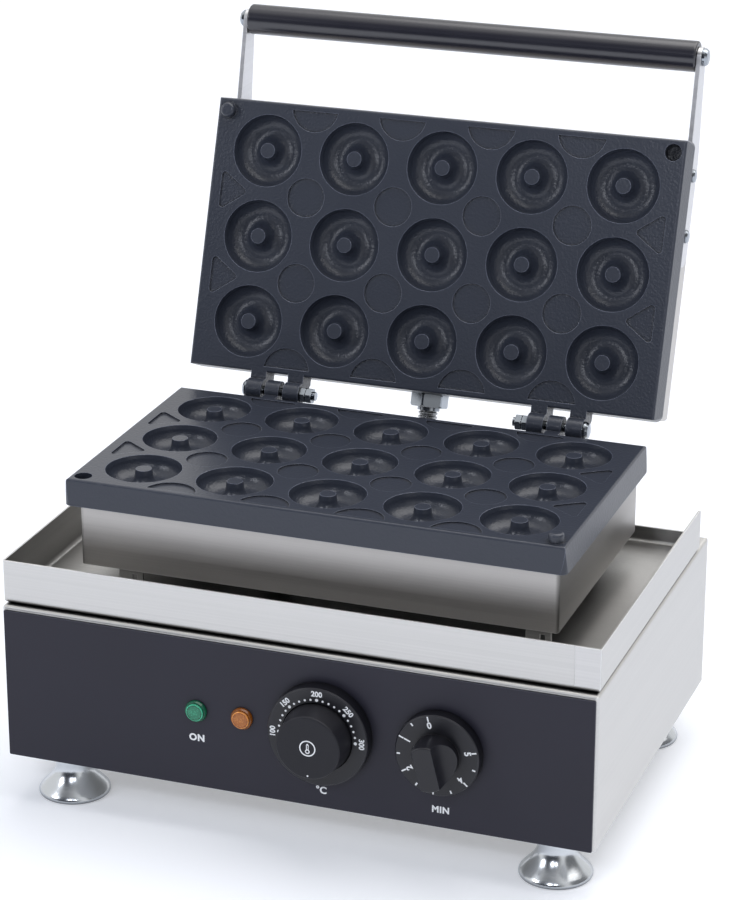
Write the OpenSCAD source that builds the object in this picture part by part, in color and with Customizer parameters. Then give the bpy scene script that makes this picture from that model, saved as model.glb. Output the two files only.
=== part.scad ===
// Table-top maker for small ring doughnuts.
// A stainless base carries a drip tray. On it, four brackets hold the lower heater housing with its cast
// mould plate. The lid is the same plate and housing turned over, hinged behind the lower plate and drawn open.

/* [Base] */
// Width of the base and of the drip tray on it
base_w = 400; // [390:1:440]
// Depth of the base, from the face of the fascia to the rear wall
base_d = 269.5; // [262:0.5:300]
// Height of the base cabinet, without its feet
base_h = 106; // [96:1:130]
// Thickness of the stainless sheet
sheet_t = 1.2; // [0.8:0.1:2]
// Outer radius of the bends along the edges of the base
base_bend_r = 2.5; // [2.2:0.1:4]
// Thickness of the black fascia plate on the front
fascia_t = 1; // [0.8:0.1:1.5]
// Distance from the fascia's side edges to the sides of the base
fascia_side_inset = 1.5; // [1:0.1:6]
// Distance from the fascia's top edge to the top of the base
fascia_top_inset = 3; // [2:0.1:8]
// Number of cooling slots in the rear wall
vent_count = 12; // [4:1:16]
// Width of a cooling slot
vent_w = 3; // [2:0.1:4]
// Length of a cooling slot
vent_l = 34; // [20:1:50]

/* [Feet] */
// Height of a foot under the base
foot_h = 35; // [32:1:45]
// Radius of a foot's lip
foot_r = 23.8; // [21:0.1:27]
// Radius of the neck of a foot
foot_neck_r = 12; // [10:0.1:13]
// Distance from the sides of the base to the centre of a foot
foot_inset_x = 33; // [28:1:60]
// Distance from the front and the rear of the base to the centre of a foot
foot_inset_y = 31; // [28:1:60]
// Diameter of a foot's stud
foot_stud_d = 8; // [6:0.5:10]

/* [Drip tray] */
// Distance from the fascia's face to the tray's front wall
tray_setback = 4.3; // [4:0.1:12]
// Height of the front and side walls of the tray
tray_wall_h = 30; // [20:0.5:34]
// Height of the rear wall of the tray
tray_rear_h = 12; // [8:1:18]
// Outer radius of the bend where the walls meet the floor
tray_bend_r = 4; // [3:0.1:6]
// Depth of the strip of the base left free behind the tray
rear_strip = 24; // [24:1:34]

/* [Heater housings] */
// Width of a heater housing
housing_w = 323; // [319:1:328]
// Depth of a heater housing
housing_d = 179.5; // [170:0.5:180]
// Height of a heater housing, from its floor to the underside of the plate
housing_h = 43.5; // [38:0.1:60]
// Radius of the upright corners of a housing
housing_corner_r = 2.5; // [2.5:0.1:8]
// Width of the rim that the plate lies on
housing_rim = 7; // [5:0.5:12]
// Height of the brackets under the lower housing
leg_h = 17.4; // [14:0.1:26]
// Width of such a bracket
leg_w = 16.5; // [14:0.5:24]
// Distance from the middle to the front left bracket, and to the rear right one
leg_left_x = 128; // [100:1:145]
// Distance from the middle to the front right bracket, and to the rear left one
leg_right_x = 148; // [100:1:148]

/* [Mould plates] */
// Width of a mould plate at its face
plate_w = 334.3; // [326:0.1:345]
// Depth of a mould plate at its face
plate_d = 186.2; // [176:0.1:190]
// Thickness of a mould plate
plate_t = 17.8; // [15:0.1:20]
// How much wider each side of the plate is at its back than at its face
plate_flare = 1.5; // [0.5:0.1:3]
// Radius of the upright corners of a plate
plate_corner_r = 5; // [3:0.5:8]
// Radius of the edge round the face of a plate
plate_edge_r = 1.6; // [0.8:0.1:2.5]
// Number of moulds across the width
mould_cols = 5; // [3:1:5]
// Number of moulds from front to rear
mould_rows = 3; // [2:1:3]
// Distance between moulds across the width
mould_pitch_x = 63.7; // [60:0.1:65]
// Distance between moulds from front to rear
mould_pitch_y = 59.3; // [56:0.1:60.5]
// Radius of a mould at the face of the plate
mould_r = 25; // [23:0.1:26]
// Depth of a mould
mould_depth = 12; // [9:0.1:12.5]
// Radius of the peg that makes the hole of the ring
peg_r = 5.2; // [4:0.1:7]
// Slope of the mould's walls, as a change of radius
mould_draft = 0.6; // [0.2:0.1:1]
// Depth of the shallow recesses between the moulds
relief_depth = 1.2; // [0.6:0.1:2]
// Radius of the round recesses between four moulds
relief_r = 13.5; // [10:0.1:14]
// Diameter of the pins that line up the two plates
pin_d = 10; // [6:0.5:11]
// Height of these pins above the face
pin_h = 6; // [3:0.5:8]
// Distance from the plate's edges to a pin and to the hole across from it
pin_inset = 8.5; // [8:0.5:12]

/* [Hinge] */
// Distance from the rear wall of the base to the hinge axis
hinge_inset = 37.2; // [32:0.1:40]
// Distance from the rear edge of a plate's face to the hinge axis
hinge_offset = 12.3; // [11:0.1:16]
// Distance from the middle of the plates to the middle of a hinge
hinge_x = 101.5; // [60:0.5:120]
// Diameter of the hinge knuckles
knuckle_d = 15; // [13:0.5:17]
// Width of the middle knuckle, which belongs to the lower plate
knuckle_w = 9.8; // [8:0.1:14]
// Width of each ear of the lid
ear_w = 11.2; // [8:0.1:14]
// Side play between an ear and the middle knuckle
ear_gap = 3.2; // [0.4:0.1:4]
// Diameter of a hinge bolt
hinge_bolt_d = 6; // [5:0.5:7]
// How far the lid stands open, as an angle from closed
open_angle = 109.6; // [105:0.1:113]

/* [Handle] */
// Diameter of the round grip
grip_d = 21; // [18:0.5:28]
// Distance from the hinge axis to the grip
grip_reach = 257; // [240:1:280]
// Height of the grip above the hinge axis, with the lid closed
grip_lift = 28; // [16:1:34]
// Thickness of the flat arms
arm_t = 3; // [2:0.1:5]
// Width of the arms on the housing
arm_w = 22; // [16:0.5:24]
// Width of the arms at the grip
arm_tip_w = 13.5; // [12:0.5:22]
// Height of the arms above the hinge axis where they lie on the housing, with the lid closed
arm_lift = 38; // [32:0.5:44]
// Distance from the hinge axis to the rear end of the arms
arm_start = 127; // [110:1:135]
// Distance from the hinge axis to the bend of the arms
arm_knee = 188; // [170:1:190]

/* [Controls] */
// Height of the knobs and lamps above the bottom of the base
control_z = 53.5; // [40:0.5:62]
// Place of the temperature knob, measured from the middle
thermostat_x = 21.3; // [10:0.1:30]
// Place of the timer knob, measured from the middle
timer_x = 100; // [95:0.1:120]
// Outer radius of the fixed scale ring round the temperature knob
scale_ring_r = 33.5; // [29:0.5:35]
// Thickness of this ring
scale_ring_h = 9.5; // [6:0.1:12]
// Radius of the temperature knob at its face
thermostat_knob_r = 21.4; // [18:0.1:22.5]
// Radius of the timer knob's scale disc
timer_disc_r = 27.5; // [22:0.5:30]
// Thickness of this disc
timer_disc_h = 8; // [6:0.1:10]
// Radius of the timer knob's hub
timer_hub_r = 15; // [12:0.5:18]
// Width of the bar on the timer knob
timer_bar_w = 12.4; // [8:0.1:14]
// Height of the temperature knob's face in front of the fascia
thermostat_knob_h = 26; // [20:0.5:32]
// Height of the timer knob's bar in front of the fascia
timer_knob_h = 29.5; // [24:0.5:36]
// Angle of the timer bar from upright, to the left
timer_bar_angle = 13.6; // [0:0.1:30]
// Diameter of the control shafts
shaft_d = 6; // [4:0.5:7]
// Place of the green lamp, measured from the middle
green_lamp_x = -64.5; // [-75:0.1:-55]
// Place of the amber lamp, measured from the middle
amber_lamp_x = -33; // [-40:0.1:-25]
// Radius of a lamp's rim
lamp_r = 7.3; // [5:0.1:9]

/* [Wiring] */
// Diameter of the flexible conduit to the lid
conduit_d = 13.4; // [10:0.1:14]
// Distance across the flats of the conduit's hexagon nuts
conduit_nut_af = 23.2; // [20:0.1:24]
// Height of the conduit above the back of the lid's plate where it enters the lid, with the lid closed
conduit_lift = 15; // [14:0.1:22]
// Diameter of the mains cord that the rear gland takes
cord_d = 9; // [6:0.1:11]
// Place of the rear gland, measured from the middle
cord_gland_x = 140; // [100:1:150]
// Height of the rear gland above the bottom of the base
cord_gland_z = 30; // [24:1:60]
// Diameter of the tubes of the heating elements
element_d = 8; // [6:0.1:9]
// Distance between the runs of a heating element
element_pitch = 36; // [30:1:38]

/* [Hidden] */
$fn = 64;

steel = "#c9cbcd";
coating = "#3b3e49";
black = "#3a3944";
chrome_grey = "#d9dde2";
eps = 0.01;

// Clearances
seat_gap = 0.3;
fit_gap = 0.05;
hole_gap = 0.3;
closed_gap = 0.8;
knob_gap = 0.5;

// Levels and places worked out from the sizes above
base_z0 = foot_h;
base_z1 = foot_h + base_h;
floor_z1 = base_z0 + sheet_t;
tray_floor_z = base_z1 + sheet_t;
tray_y1 = base_d - rear_strip;
housing_z0 = tray_floor_z + leg_h;
plate_z1 = housing_z0 + housing_h + plate_t;
hinge_z = plate_z1 + closed_gap / 2;
hinge_y = base_d - hinge_inset;
plate_mid_y = -hinge_offset - plate_d / 2;
plate_face_z = -closed_gap / 2;
plate_back_z = plate_face_z - plate_t;
housing_rear_y = plate_flare - hinge_offset - 0.5;
housing_front_y = housing_rear_y - housing_d;
housing_y0 = hinge_y + housing_front_y;
housing_floor_z = plate_back_z - housing_h;
conduit_entry_z = conduit_lift - plate_back_z;
control_h = base_z0 + control_z;
strip_y = base_d - rear_strip / 2;

// The part is centred from front to rear on its reach with the lid open
front_reach = -max(thermostat_knob_h, timer_knob_h);
lid_corner = [housing_front_y, -housing_floor_z];
rear_reach = hinge_y + lid_corner[0] * cos(open_angle) + lid_corner[1] * sin(open_angle);
middle_y = (front_reach + rear_reach) / 2;

// Places the parts of the base
module on_base() {
    translate([0, -middle_y, 0]) children();
}

// Places what is measured from the hinge axis and stays with the base
module at_hinge() {
    on_base() translate([0, hinge_y, hinge_z]) children();
}

// Places what is measured from the hinge axis and swings with the lid, from its closed place to its open one
module on_lid() {
    at_hinge() rotate([-open_angle, 0, 0]) children();
}

// Turns a piece of the lower half over, to make the same piece of the lid
module turned_over() {
    on_lid() mirror([0, 0, 1]) children();
}

// Rectangle with round corners, its lower left corner at the origin
module round_rect(size, r) {
    translate([r, 0]) square([size[0] - 2 * r, size[1]]);
    translate([0, r]) square([size[0], size[1] - 2 * r]);
    for (x = [r, size[0] - r], y = [r, size[1] - r]) translate([x, y]) circle(r);
}

// Upright slot with round ends, its lower left corner at the origin
module round_slot(w, l) {
    translate([0, w / 2]) square([w, l - w]);
    for (y = [w / 2, l - w / 2]) translate([w / 2, y]) circle(w / 2);
}

// Rectangle whose two upper corners are round
module round_top_rect(size, r) {
    square([size[0], size[1] - r]);
    translate([r, 0]) square([size[0] - 2 * r, size[1]]);
    for (x = [r, size[0] - r]) translate([x, size[1] - r]) circle(r);
}

// Box with bends of radius r along its four top edges and round upright edges of radius corner_r
module bent_box(size, r, corner_r) {
    intersection() {
        translate([0, size[1], 0]) rotate([90, 0, 0]) linear_extrude(size[1]) round_top_rect([size[0], size[2]], r);
        rotate([90, 0, 90]) linear_extrude(size[0]) round_top_rect([size[1], size[2]], r);
        linear_extrude(size[2]) round_rect([size[0], size[1]], corner_r);
    }
}

// Flat side of a bar between two round ends, as an outline that ends just inside both circles
module bar_web(p, q, rp, rq) {
    bite = 5;
    heading = atan2(q[1] - p[1], q[0] - p[0]);
    lean = acos((rp - rq) / norm(q - p));
    polygon([
        p + rp * [cos(heading + lean + bite), sin(heading + lean + bite)],
        q + rq * [cos(heading + lean - bite), sin(heading + lean - bite)],
        q + rq * [cos(heading - lean + bite), sin(heading - lean + bite)],
        p + rp * [cos(heading - lean - bite), sin(heading - lean - bite)]
    ]);
}

// Triangle with round corners: one side upright along x = 0, and its point towards -X
module round_triangle(deep, span, r) {
    corners = [[-r, span / 2 - r], [r - deep, 0], [-r, r - span / 2]];
    for (spot = corners) translate(spot) circle(r);
    polygon([for (i = [0:2]) let (
        p = corners[i],
        q = corners[(i + 1) % 3],
        out = [q[1] - p[1], p[0] - q[0]] * r / norm(q - p)
    ) each [p + out, q + out]]);
}

// Cylinder along Y, from y0 to y1
module rod_y(r, y0, y1) {
    translate([0, y1, 0]) rotate([90, 0, 0]) cylinder(r = r, h = y1 - y0);
}

// Cylinder along X, from x0 to x1
module rod_x(r, x0, x1) {
    translate([x0, 0, 0]) rotate([0, 90, 0]) cylinder(r = r, h = x1 - x0);
}

// Hexagon prism with rounded-off corners, standing on its flat face
module hex_nut(af, h) {
    intersection() {
        cylinder(d = af / cos(30), h = h, $fn = 6);
        rotate_extrude() polygon([[0, 0], [af * 0.53, 0], [af * 0.56, h * 0.12], [af * 0.56, h * 0.88],
            [af * 0.53, h], [0, h]]);
    }
}

// Pan-head screw, its head above z = 0 and its shank below
module pan_screw(head_d, head_h, shank_d, shank_l) {
    rotate_extrude() polygon([[0, -shank_l], [shank_d / 2, -shank_l], [shank_d / 2, 0], [head_d / 2, 0],
        [head_d / 2, head_h * 0.5], [head_d * 0.4, head_h * 0.88], [head_d * 0.22, head_h], [0, head_h]]);
}

// ---- Base cabinet ----

shaft_hole_r = shaft_d / 2 + 2;
bush_r = shaft_hole_r - hole_gap;
lamp_hole_r = lamp_r - 1.8;
front_holes = [
    [thermostat_x, shaft_hole_r], [timer_x, shaft_hole_r], [green_lamp_x, lamp_hole_r], [amber_lamp_x, lamp_hole_r]
];
foot_spots = [
    [-(base_w / 2 - foot_inset_x), foot_inset_y], [base_w / 2 - foot_inset_x, foot_inset_y],
    [-(base_w / 2 - foot_inset_x), base_d - foot_inset_y], [base_w / 2 - foot_inset_x, base_d - foot_inset_y]
];
wiring_tube_r = 9;
wiring_spot = [-60, housing_y0 + housing_d / 2];
conduit_hole_r = conduit_d / 2;
vent_pitch = vent_w * 3;
vent_z = base_z0 + base_h * 0.55;
gland_hole_r = cord_d / 2 + 3.5;

flange_w = 14;
floor_w = base_w - 2 * sheet_t - 2 * seat_gap;
floor_d = base_d - fascia_t - 2 * sheet_t - 2 * seat_gap;
floor_y0 = fascia_t + sheet_t + seat_gap;
screw_inset = sheet_t + flange_w / 2;
floor_screw_spots = [
    for (x = [screw_inset - base_w / 2, base_w / 2 - screw_inset], y = [base_d * 0.36, base_d * 0.64]) [x, y]
];
floor_screw_d = 4;

module base_housing() {
    color(steel) on_base() difference() {
        translate([-base_w / 2, fascia_t, base_z0])
            bent_box([base_w, base_d - fascia_t, base_h], base_bend_r, base_bend_r);
        translate([-base_w / 2 + sheet_t, fascia_t + sheet_t, base_z0 + 2 * sheet_t])
            bent_box([base_w - 2 * sheet_t, base_d - fascia_t - 2 * sheet_t, base_h - 3 * sheet_t],
                base_bend_r - sheet_t, base_bend_r - sheet_t);
        translate([-base_w / 2 + sheet_t, fascia_t + sheet_t, base_z0 - sheet_t]) linear_extrude(2 * sheet_t)
            round_rect([base_w - 2 * sheet_t, base_d - fascia_t - 2 * sheet_t], base_bend_r - sheet_t);
        translate([-base_w / 2 + sheet_t + flange_w, fascia_t + sheet_t + flange_w, base_z0 - sheet_t])
            cube([base_w - 2 * sheet_t - 2 * flange_w, base_d - fascia_t - 2 * sheet_t - 2 * flange_w, 5 * sheet_t]);
        for (spot = floor_screw_spots)
            translate([spot[0], spot[1], base_z0]) cylinder(r = floor_screw_d / 2 + fit_gap, h = 3 * sheet_t);
        for (hole = front_holes)
            translate([hole[0], 0, control_h]) rod_y(hole[1], 0, fascia_t + 2 * sheet_t);
        translate([wiring_spot[0], wiring_spot[1], base_z1 - 2 * sheet_t])
            cylinder(r = wiring_tube_r + hole_gap, h = 3 * sheet_t);
        translate([0, strip_y, base_z1 - 2 * sheet_t]) cylinder(r = conduit_hole_r, h = 3 * sheet_t);
        translate([cord_gland_x, 0, base_z0 + cord_gland_z])
            rod_y(gland_hole_r, base_d - 2 * sheet_t, base_d + sheet_t);
        for (i = [0:vent_count - 1])
            translate([(i - (vent_count - 1) / 2) * vent_pitch - vent_w / 2, base_d + sheet_t, vent_z - vent_l / 2])
                rotate([90, 0, 0]) linear_extrude(3 * sheet_t) round_slot(vent_w, vent_l);
    }
}

// Flat panel under the flanges of the cabinet, with cooling slots and holes for the feet
module base_floor() {
    color(steel) on_base() difference() {
        translate([-floor_w / 2, floor_y0, base_z0]) linear_extrude(sheet_t) round_rect([floor_w, floor_d], 1);
        for (spot = foot_spots)
            translate([spot[0], spot[1], base_z0 - 1]) cylinder(r = foot_stud_d / 2 + hole_gap, h = sheet_t + 2);
        for (spot = floor_screw_spots)
            translate([spot[0], spot[1], base_z0 - 1]) cylinder(r = floor_screw_d / 2 + hole_gap, h = sheet_t + 2);
        for (i = [0:vent_count - 1])
            translate([(i - (vent_count - 1) / 2) * 2 * vent_pitch - vent_w / 2, (base_d - vent_l) / 2, base_z0 - 1])
                linear_extrude(sheet_t + 2) round_slot(vent_w, vent_l);
    }
}

// Screws that go up through the floor into the flanges
module floor_screws() {
    color(chrome_grey) on_base() for (spot = floor_screw_spots)
        translate([spot[0], spot[1], base_z0]) mirror([0, 0, 1]) pan_screw(floor_screw_d * 2, 2.4, floor_screw_d, 6);
}

module control_fascia() {
    color(black) on_base() difference() {
        translate([-base_w / 2 + fascia_side_inset, fascia_t, base_z0]) rotate([90, 0, 0]) linear_extrude(fascia_t)
            round_rect([base_w - 2 * fascia_side_inset, base_h - fascia_top_inset], 1);
        for (hole = front_holes)
            translate([hole[0], 0, control_h]) rod_y(hole[1], -fascia_t, 2 * fascia_t);
    }
}

// ---- Feet ----

foot_dome_r = foot_r * 0.63;
foot_lip_h = 3.5;
foot_sweep = 62;
foot_join = [foot_r - foot_dome_r * (1 - cos(foot_sweep)), foot_lip_h + foot_dome_r * sin(foot_sweep)];
foot_hollow_r = (foot_join[0] - foot_neck_r) / (1 - cos(foot_sweep));
foot_hollow = foot_join + foot_hollow_r * [cos(foot_sweep), sin(foot_sweep)];
foot_wall = 2.4;
foot_nut_h = 6;

// Bell-shaped foot: a round shoulder that runs into a neck, dished below so that only its rim stands
module foot(index) {
    color(chrome_grey) on_base() translate([foot_spots[index][0], foot_spots[index][1], 0]) {
        difference() {
            rotate_extrude() difference() {
                union() {
                    polygon([[0, 0], [foot_r - 1, 0], [foot_r, 1], [foot_r, foot_lip_h], foot_join,
                        [foot_neck_r, foot_hollow[1]], [foot_neck_r, foot_h], [0, foot_h]]);
                    intersection() {
                        translate([foot_r - foot_dome_r, foot_lip_h]) circle(foot_dome_r);
                        translate([0, foot_lip_h]) square([foot_r, foot_dome_r]);
                    }
                }
                translate(foot_hollow) circle(foot_hollow_r);
            }
            translate([0, 0, -eps]) cylinder(r = foot_r - foot_wall, h = foot_lip_h);
        }
        translate([0, 0, foot_h - eps]) cylinder(d = foot_stud_d, h = sheet_t + foot_nut_h + 4);
    }
}

module foot_front_left() foot(0);
module foot_front_right() foot(1);
module foot_rear_left() foot(2);
module foot_rear_right() foot(3);

module foot_nuts() {
    color(chrome_grey) on_base() for (spot = foot_spots) translate([spot[0], spot[1], floor_z1]) difference() {
        hex_nut(foot_stud_d * 1.6, foot_nut_h);
        translate([0, 0, -1]) cylinder(r = foot_stud_d / 2 + fit_gap, h = foot_nut_h + 2);
    }
}

// ---- Drip tray ----

tray_d = tray_y1 - tray_setback;
tray_tip_r = 5;
tray_seam_r = 0.3;

// Pan with bends between floor and walls, high at the front and the sides and low at the rear. Its upright corners
// are joints, and so they are sharper than its bends.
module drip_tray() {
    color(steel) on_base() difference() {
        translate([-base_w / 2, tray_setback, base_z1 + tray_wall_h]) mirror([0, 0, 1])
            bent_box([base_w, tray_d, tray_wall_h], tray_bend_r, sheet_t + tray_seam_r);
        translate([-base_w / 2 + sheet_t, tray_setback + sheet_t, base_z1 + tray_wall_h + eps]) mirror([0, 0, 1])
            bent_box([base_w - 2 * sheet_t, tray_d - 2 * sheet_t, tray_wall_h - sheet_t + eps],
                tray_bend_r - sheet_t, tray_seam_r);
        translate([-base_w / 2 + sheet_t, tray_y1 - tray_bend_r, base_z1 + tray_rear_h])
            cube([base_w - 2 * sheet_t, 2 * tray_bend_r, tray_wall_h]);
        translate([-base_w / 2 - 1, tray_y1 - tray_tip_r, base_z1 + tray_wall_h - tray_tip_r])
            rotate([90, 0, 90]) linear_extrude(base_w + 2) difference() {
                square(2 * tray_tip_r);
                circle(tray_tip_r);
            }
        translate([wiring_spot[0], wiring_spot[1], base_z1 - sheet_t])
            cylinder(r = wiring_tube_r + hole_gap, h = 3 * sheet_t);
    }
}

// ---- Heater housings ----

bracket_d = 14;
bracket_slot = 3.4;
bracket_bar = 2;
bracket_t = 1.5;

// Folded bracket: a face with a slot, a flange under the housing and one on the tray
module housing_bracket() {
    difference() {
        translate([-leg_w / 2, 0, 0]) rotate([90, 0, 90]) linear_extrude(leg_w) {
            square([bracket_t, leg_h]);
            square([bracket_d, bracket_t]);
            translate([0, leg_h - bracket_t]) square([bracket_d, bracket_t]);
        }
        translate([leg_w * 0.06, -1, -1]) cube([bracket_slot, bracket_t + 2, leg_h - bracket_t - bracket_bar + 1]);
    }
}

bracket_inset = 3;

// Two brackets under the front of the housing, and the same pair turned round under its rear
module housing_brackets() {
    color(steel) on_base() translate([0, housing_y0 + housing_d / 2, tray_floor_z])
        for (turn = [0, 180], x = [-leg_left_x, leg_right_x]) rotate([0, 0, turn])
            translate([x, bracket_inset - housing_d / 2, 0]) housing_bracket();
}

wiring_tube_wall = 1.5;
wiring_tube_drop = 4;
wiring_tube_h = wiring_tube_drop + sheet_t + leg_h + 5;

// Sleeve for the wires, from inside the base up through the tray into the lower housing
module wiring_tube() {
    color(steel) on_base() translate([wiring_spot[0], wiring_spot[1], base_z1 - wiring_tube_drop]) difference() {
        union() {
            cylinder(r = wiring_tube_r, h = wiring_tube_h);
            translate([0, 0, wiring_tube_drop + sheet_t]) cylinder(r = wiring_tube_r + 3, h = 2);
        }
        translate([0, 0, -1]) cylinder(r = wiring_tube_r - wiring_tube_wall, h = wiring_tube_h + 2);
    }
}

// Open box of folded sheet, measured from the hinge axis, with an inward rim under the plate
module heater_housing() {
    translate([-housing_w / 2, housing_front_y, housing_floor_z]) difference() {
        linear_extrude(housing_h) round_rect([housing_w, housing_d], housing_corner_r);
        translate([sheet_t, sheet_t, sheet_t]) linear_extrude(housing_h - 2 * sheet_t)
            round_rect([housing_w - 2 * sheet_t, housing_d - 2 * sheet_t], housing_corner_r - sheet_t);
        translate([housing_rim, housing_rim, sheet_t]) linear_extrude(housing_h)
            round_rect([housing_w - 2 * housing_rim, housing_d - 2 * housing_rim], housing_corner_r);
    }
}

module lower_housing() {
    color(steel) at_hinge() difference() {
        heater_housing();
        translate([wiring_spot[0], wiring_spot[1] - hinge_y, housing_floor_z - 1])
            cylinder(r = wiring_tube_r + hole_gap, h = sheet_t + 2);
    }
}

module upper_housing() {
    color(steel) on_lid() difference() {
        mirror([0, 0, 1]) heater_housing();
        translate([0, 0, conduit_entry_z]) rod_y(conduit_d / 2, housing_rear_y - 2 * sheet_t, housing_rear_y + 1);
        for (side = [-1, 1], spot = arm_screw_spots)
            translate([side * housing_w / 2, spot[0], spot[1]]) rod_x(arm_screw_d / 2 + hole_gap, -3, 3);
    }
}

// ---- Mould plates ----

groove_mid_r = (mould_r + peg_r) / 2;
groove_r = (mould_r - peg_r) / 2 - mould_draft;
groove_drop = mould_depth - groove_r;
relief_edge = 4;
lunette_rise = 14.3;
lunette_r = 17;
corner_relief_r = 2.5;
corner_relief_inset = 8;
corner_relief_deep = 19;
corner_relief_span = 25;

// Cross-section of a mould: sloping walls round the peg and a round bottom
module mould_profile() {
    polygon([
        [peg_r, 1], [peg_r, 0], [groove_mid_r - groove_r, -groove_drop], [groove_mid_r + groove_r, -groove_drop],
        [mould_r, 0], [mould_r, 1]
    ]);
    translate([groove_mid_r, -groove_drop]) circle(groove_r);
}

// Ring-shaped mould below z = 0, cut out of a plate
module ring_mould() {
    rotate_extrude() mould_profile();
}

// Outline of a plate with its flared sides and round upper edges, as seen along one side
module flared_outline(width) {
    half = width / 2;
    r = plate_edge_r;
    polygon([
        [-half - plate_flare, -plate_t], [half + plate_flare, -plate_t], [half, -r], [half - r, 0], [r - half, 0],
        [-half, -r]
    ]);
    for (side = [-1, 1]) translate([side * (half - r), -r]) circle(r);
}

// Shallow recesses that lighten the face between the moulds
module face_reliefs() {
    for (i = [1:mould_cols - 1], j = [1:mould_rows - 1])
        translate([(i - mould_cols / 2) * mould_pitch_x, (j - mould_rows / 2) * mould_pitch_y, 0])
            cylinder(r = relief_r, h = relief_depth + 1);
    for (i = [1:mould_cols - 1], side = [-1, 1]) intersection() {
        translate([(i - mould_cols / 2) * mould_pitch_x,
            side * (plate_d / 2 - relief_edge - lunette_rise + lunette_r), 0])
            cylinder(r = lunette_r, h = relief_depth + 1);
        translate([-plate_w / 2, -plate_d / 2 + relief_edge, 0])
            cube([plate_w, plate_d - 2 * relief_edge, relief_depth + 1]);
    }
    for (side = [0, 1], j = [1:mould_rows - 1]) mirror([side, 0, 0])
        translate([plate_w / 2 - corner_relief_inset, (j - mould_rows / 2) * mould_pitch_y, 0])
            linear_extrude(relief_depth + 1) round_triangle(corner_relief_deep, corner_relief_span, corner_relief_r);
}

// Cast plate with its face up, measured from the hinge axis; pin_side is 1 with its pin on the right
module mould_plate(pin_side) {
    pin_x = plate_w / 2 - pin_inset;
    pin_y = pin_inset - plate_d / 2;
    translate([0, plate_mid_y, plate_face_z]) {
        difference() {
            intersection() {
                translate([0, plate_d, 0]) rotate([90, 0, 0]) linear_extrude(2 * plate_d) flared_outline(plate_w);
                translate([-plate_w, 0, 0]) rotate([90, 0, 90]) linear_extrude(2 * plate_w) flared_outline(plate_d);
                translate([-plate_w / 2 - plate_flare, -plate_d / 2 - plate_flare, -plate_t - 1])
                    linear_extrude(plate_t + 2)
                        round_rect([plate_w + 2 * plate_flare, plate_d + 2 * plate_flare], plate_corner_r);
            }
            for (i = [0:mould_cols - 1], j = [0:mould_rows - 1])
                translate([(i - (mould_cols - 1) / 2) * mould_pitch_x, (j - (mould_rows - 1) / 2) * mould_pitch_y, 0])
                    ring_mould();
            translate([0, 0, -relief_depth]) face_reliefs();
            translate([-pin_side * pin_x, pin_y, -pin_h - 2]) cylinder(r = pin_d / 2 + 0.8, h = pin_h + 3);
            for (spot = clamp_screw_spots)
                translate([spot[0], spot[1], -plate_t - 1]) cylinder(r = 2 + fit_gap, h = clamp_screw_bite + 1);
        }
        translate([pin_side * pin_x, pin_y, -2]) rotate_extrude() {
            square([pin_d / 2, pin_h - pin_d * 0.1]);
            square([pin_d * 0.3, pin_h + 2]);
            intersection() {
                translate([pin_d * 0.3, pin_h + 2 - pin_d * 0.2]) circle(pin_d * 0.2);
                square([pin_d, pin_h + 3]);
            }
            square([pin_d / 2, pin_h + 2 - pin_d * 0.2]);
        }
    }
}

knuckle_r = knuckle_d / 2;
bolt_r = hinge_bolt_d / 2;
ear_x = knuckle_w / 2 + ear_gap;
lug_root = 2;

// Lug cast on the rear edge of a plate, seen from the side: a knuckle round the hinge axis and its web
module lug_outline() {
    circle(knuckle_r);
    polygon([
        [0, plate_face_z], [-hinge_offset - lug_root, plate_face_z], [-hinge_offset - lug_root, plate_back_z + 1.5],
        [-knuckle_r * 0.9, plate_back_z + 1.5], [knuckle_r * cos(60), -knuckle_r * sin(60)]
    ]);
}

// Adds lugs at the given places to a plate and bores them for the hinge bolts
module with_lugs(spots, width) {
    difference() {
        union() {
            children();
            for (x = spots) translate([x, 0, 0]) rotate([90, 0, 90]) linear_extrude(width) lug_outline();
        }
        for (x = spots) rod_x(bolt_r + fit_gap, x - 1, x + width + 1);
    }
}

module lower_plate() {
    color(coating) at_hinge()
        with_lugs([for (side = [-1, 1]) side * hinge_x - knuckle_w / 2], knuckle_w) mould_plate(1);
}

module upper_plate() {
    color(coating) turned_over()
        with_lugs([for (side = [-1, 1], x = [-ear_x - ear_w, ear_x]) side * hinge_x + x], ear_w) mould_plate(-1);
}

// ---- Heating elements ----

element_runs = 4;
element_half = 130;
element_z = plate_back_z - element_d / 2 - seat_gap;
clamp_x = 65;
clamp_w = 14;
clamp_t = 3;
clamp_z = element_z - element_d / 2 - seat_gap;
clamp_screw_bite = 3;
clamp_screw_spots = [for (x = [-clamp_x, clamp_x], side = [-1, 1]) [x, side * element_pitch]];

// Tubular element in four runs, joined by half turns, with its cold ends on the left
module heating_element() {
    translate([0, plate_mid_y, element_z]) {
        for (i = [0:element_runs - 1])
            translate([0, (i - (element_runs - 1) / 2) * element_pitch, 0])
                rod_x(element_d / 2, -element_half, element_half);
        for (i = [0:element_runs - 2])
            translate([(i % 2 == 0 ? 1 : -1) * element_half, (i - (element_runs - 2) / 2) * element_pitch, 0])
                rotate([0, 0, i % 2 == 0 ? -90 : 90]) rotate_extrude(angle = 180)
                    translate([element_pitch / 2, 0]) circle(d = element_d);
        for (side = [-1, 1]) translate([0, side * (element_runs - 1) / 2 * element_pitch, 0])
            rod_x(element_d * 0.3, -element_half - 14, -element_half + 1);
    }
}

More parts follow.
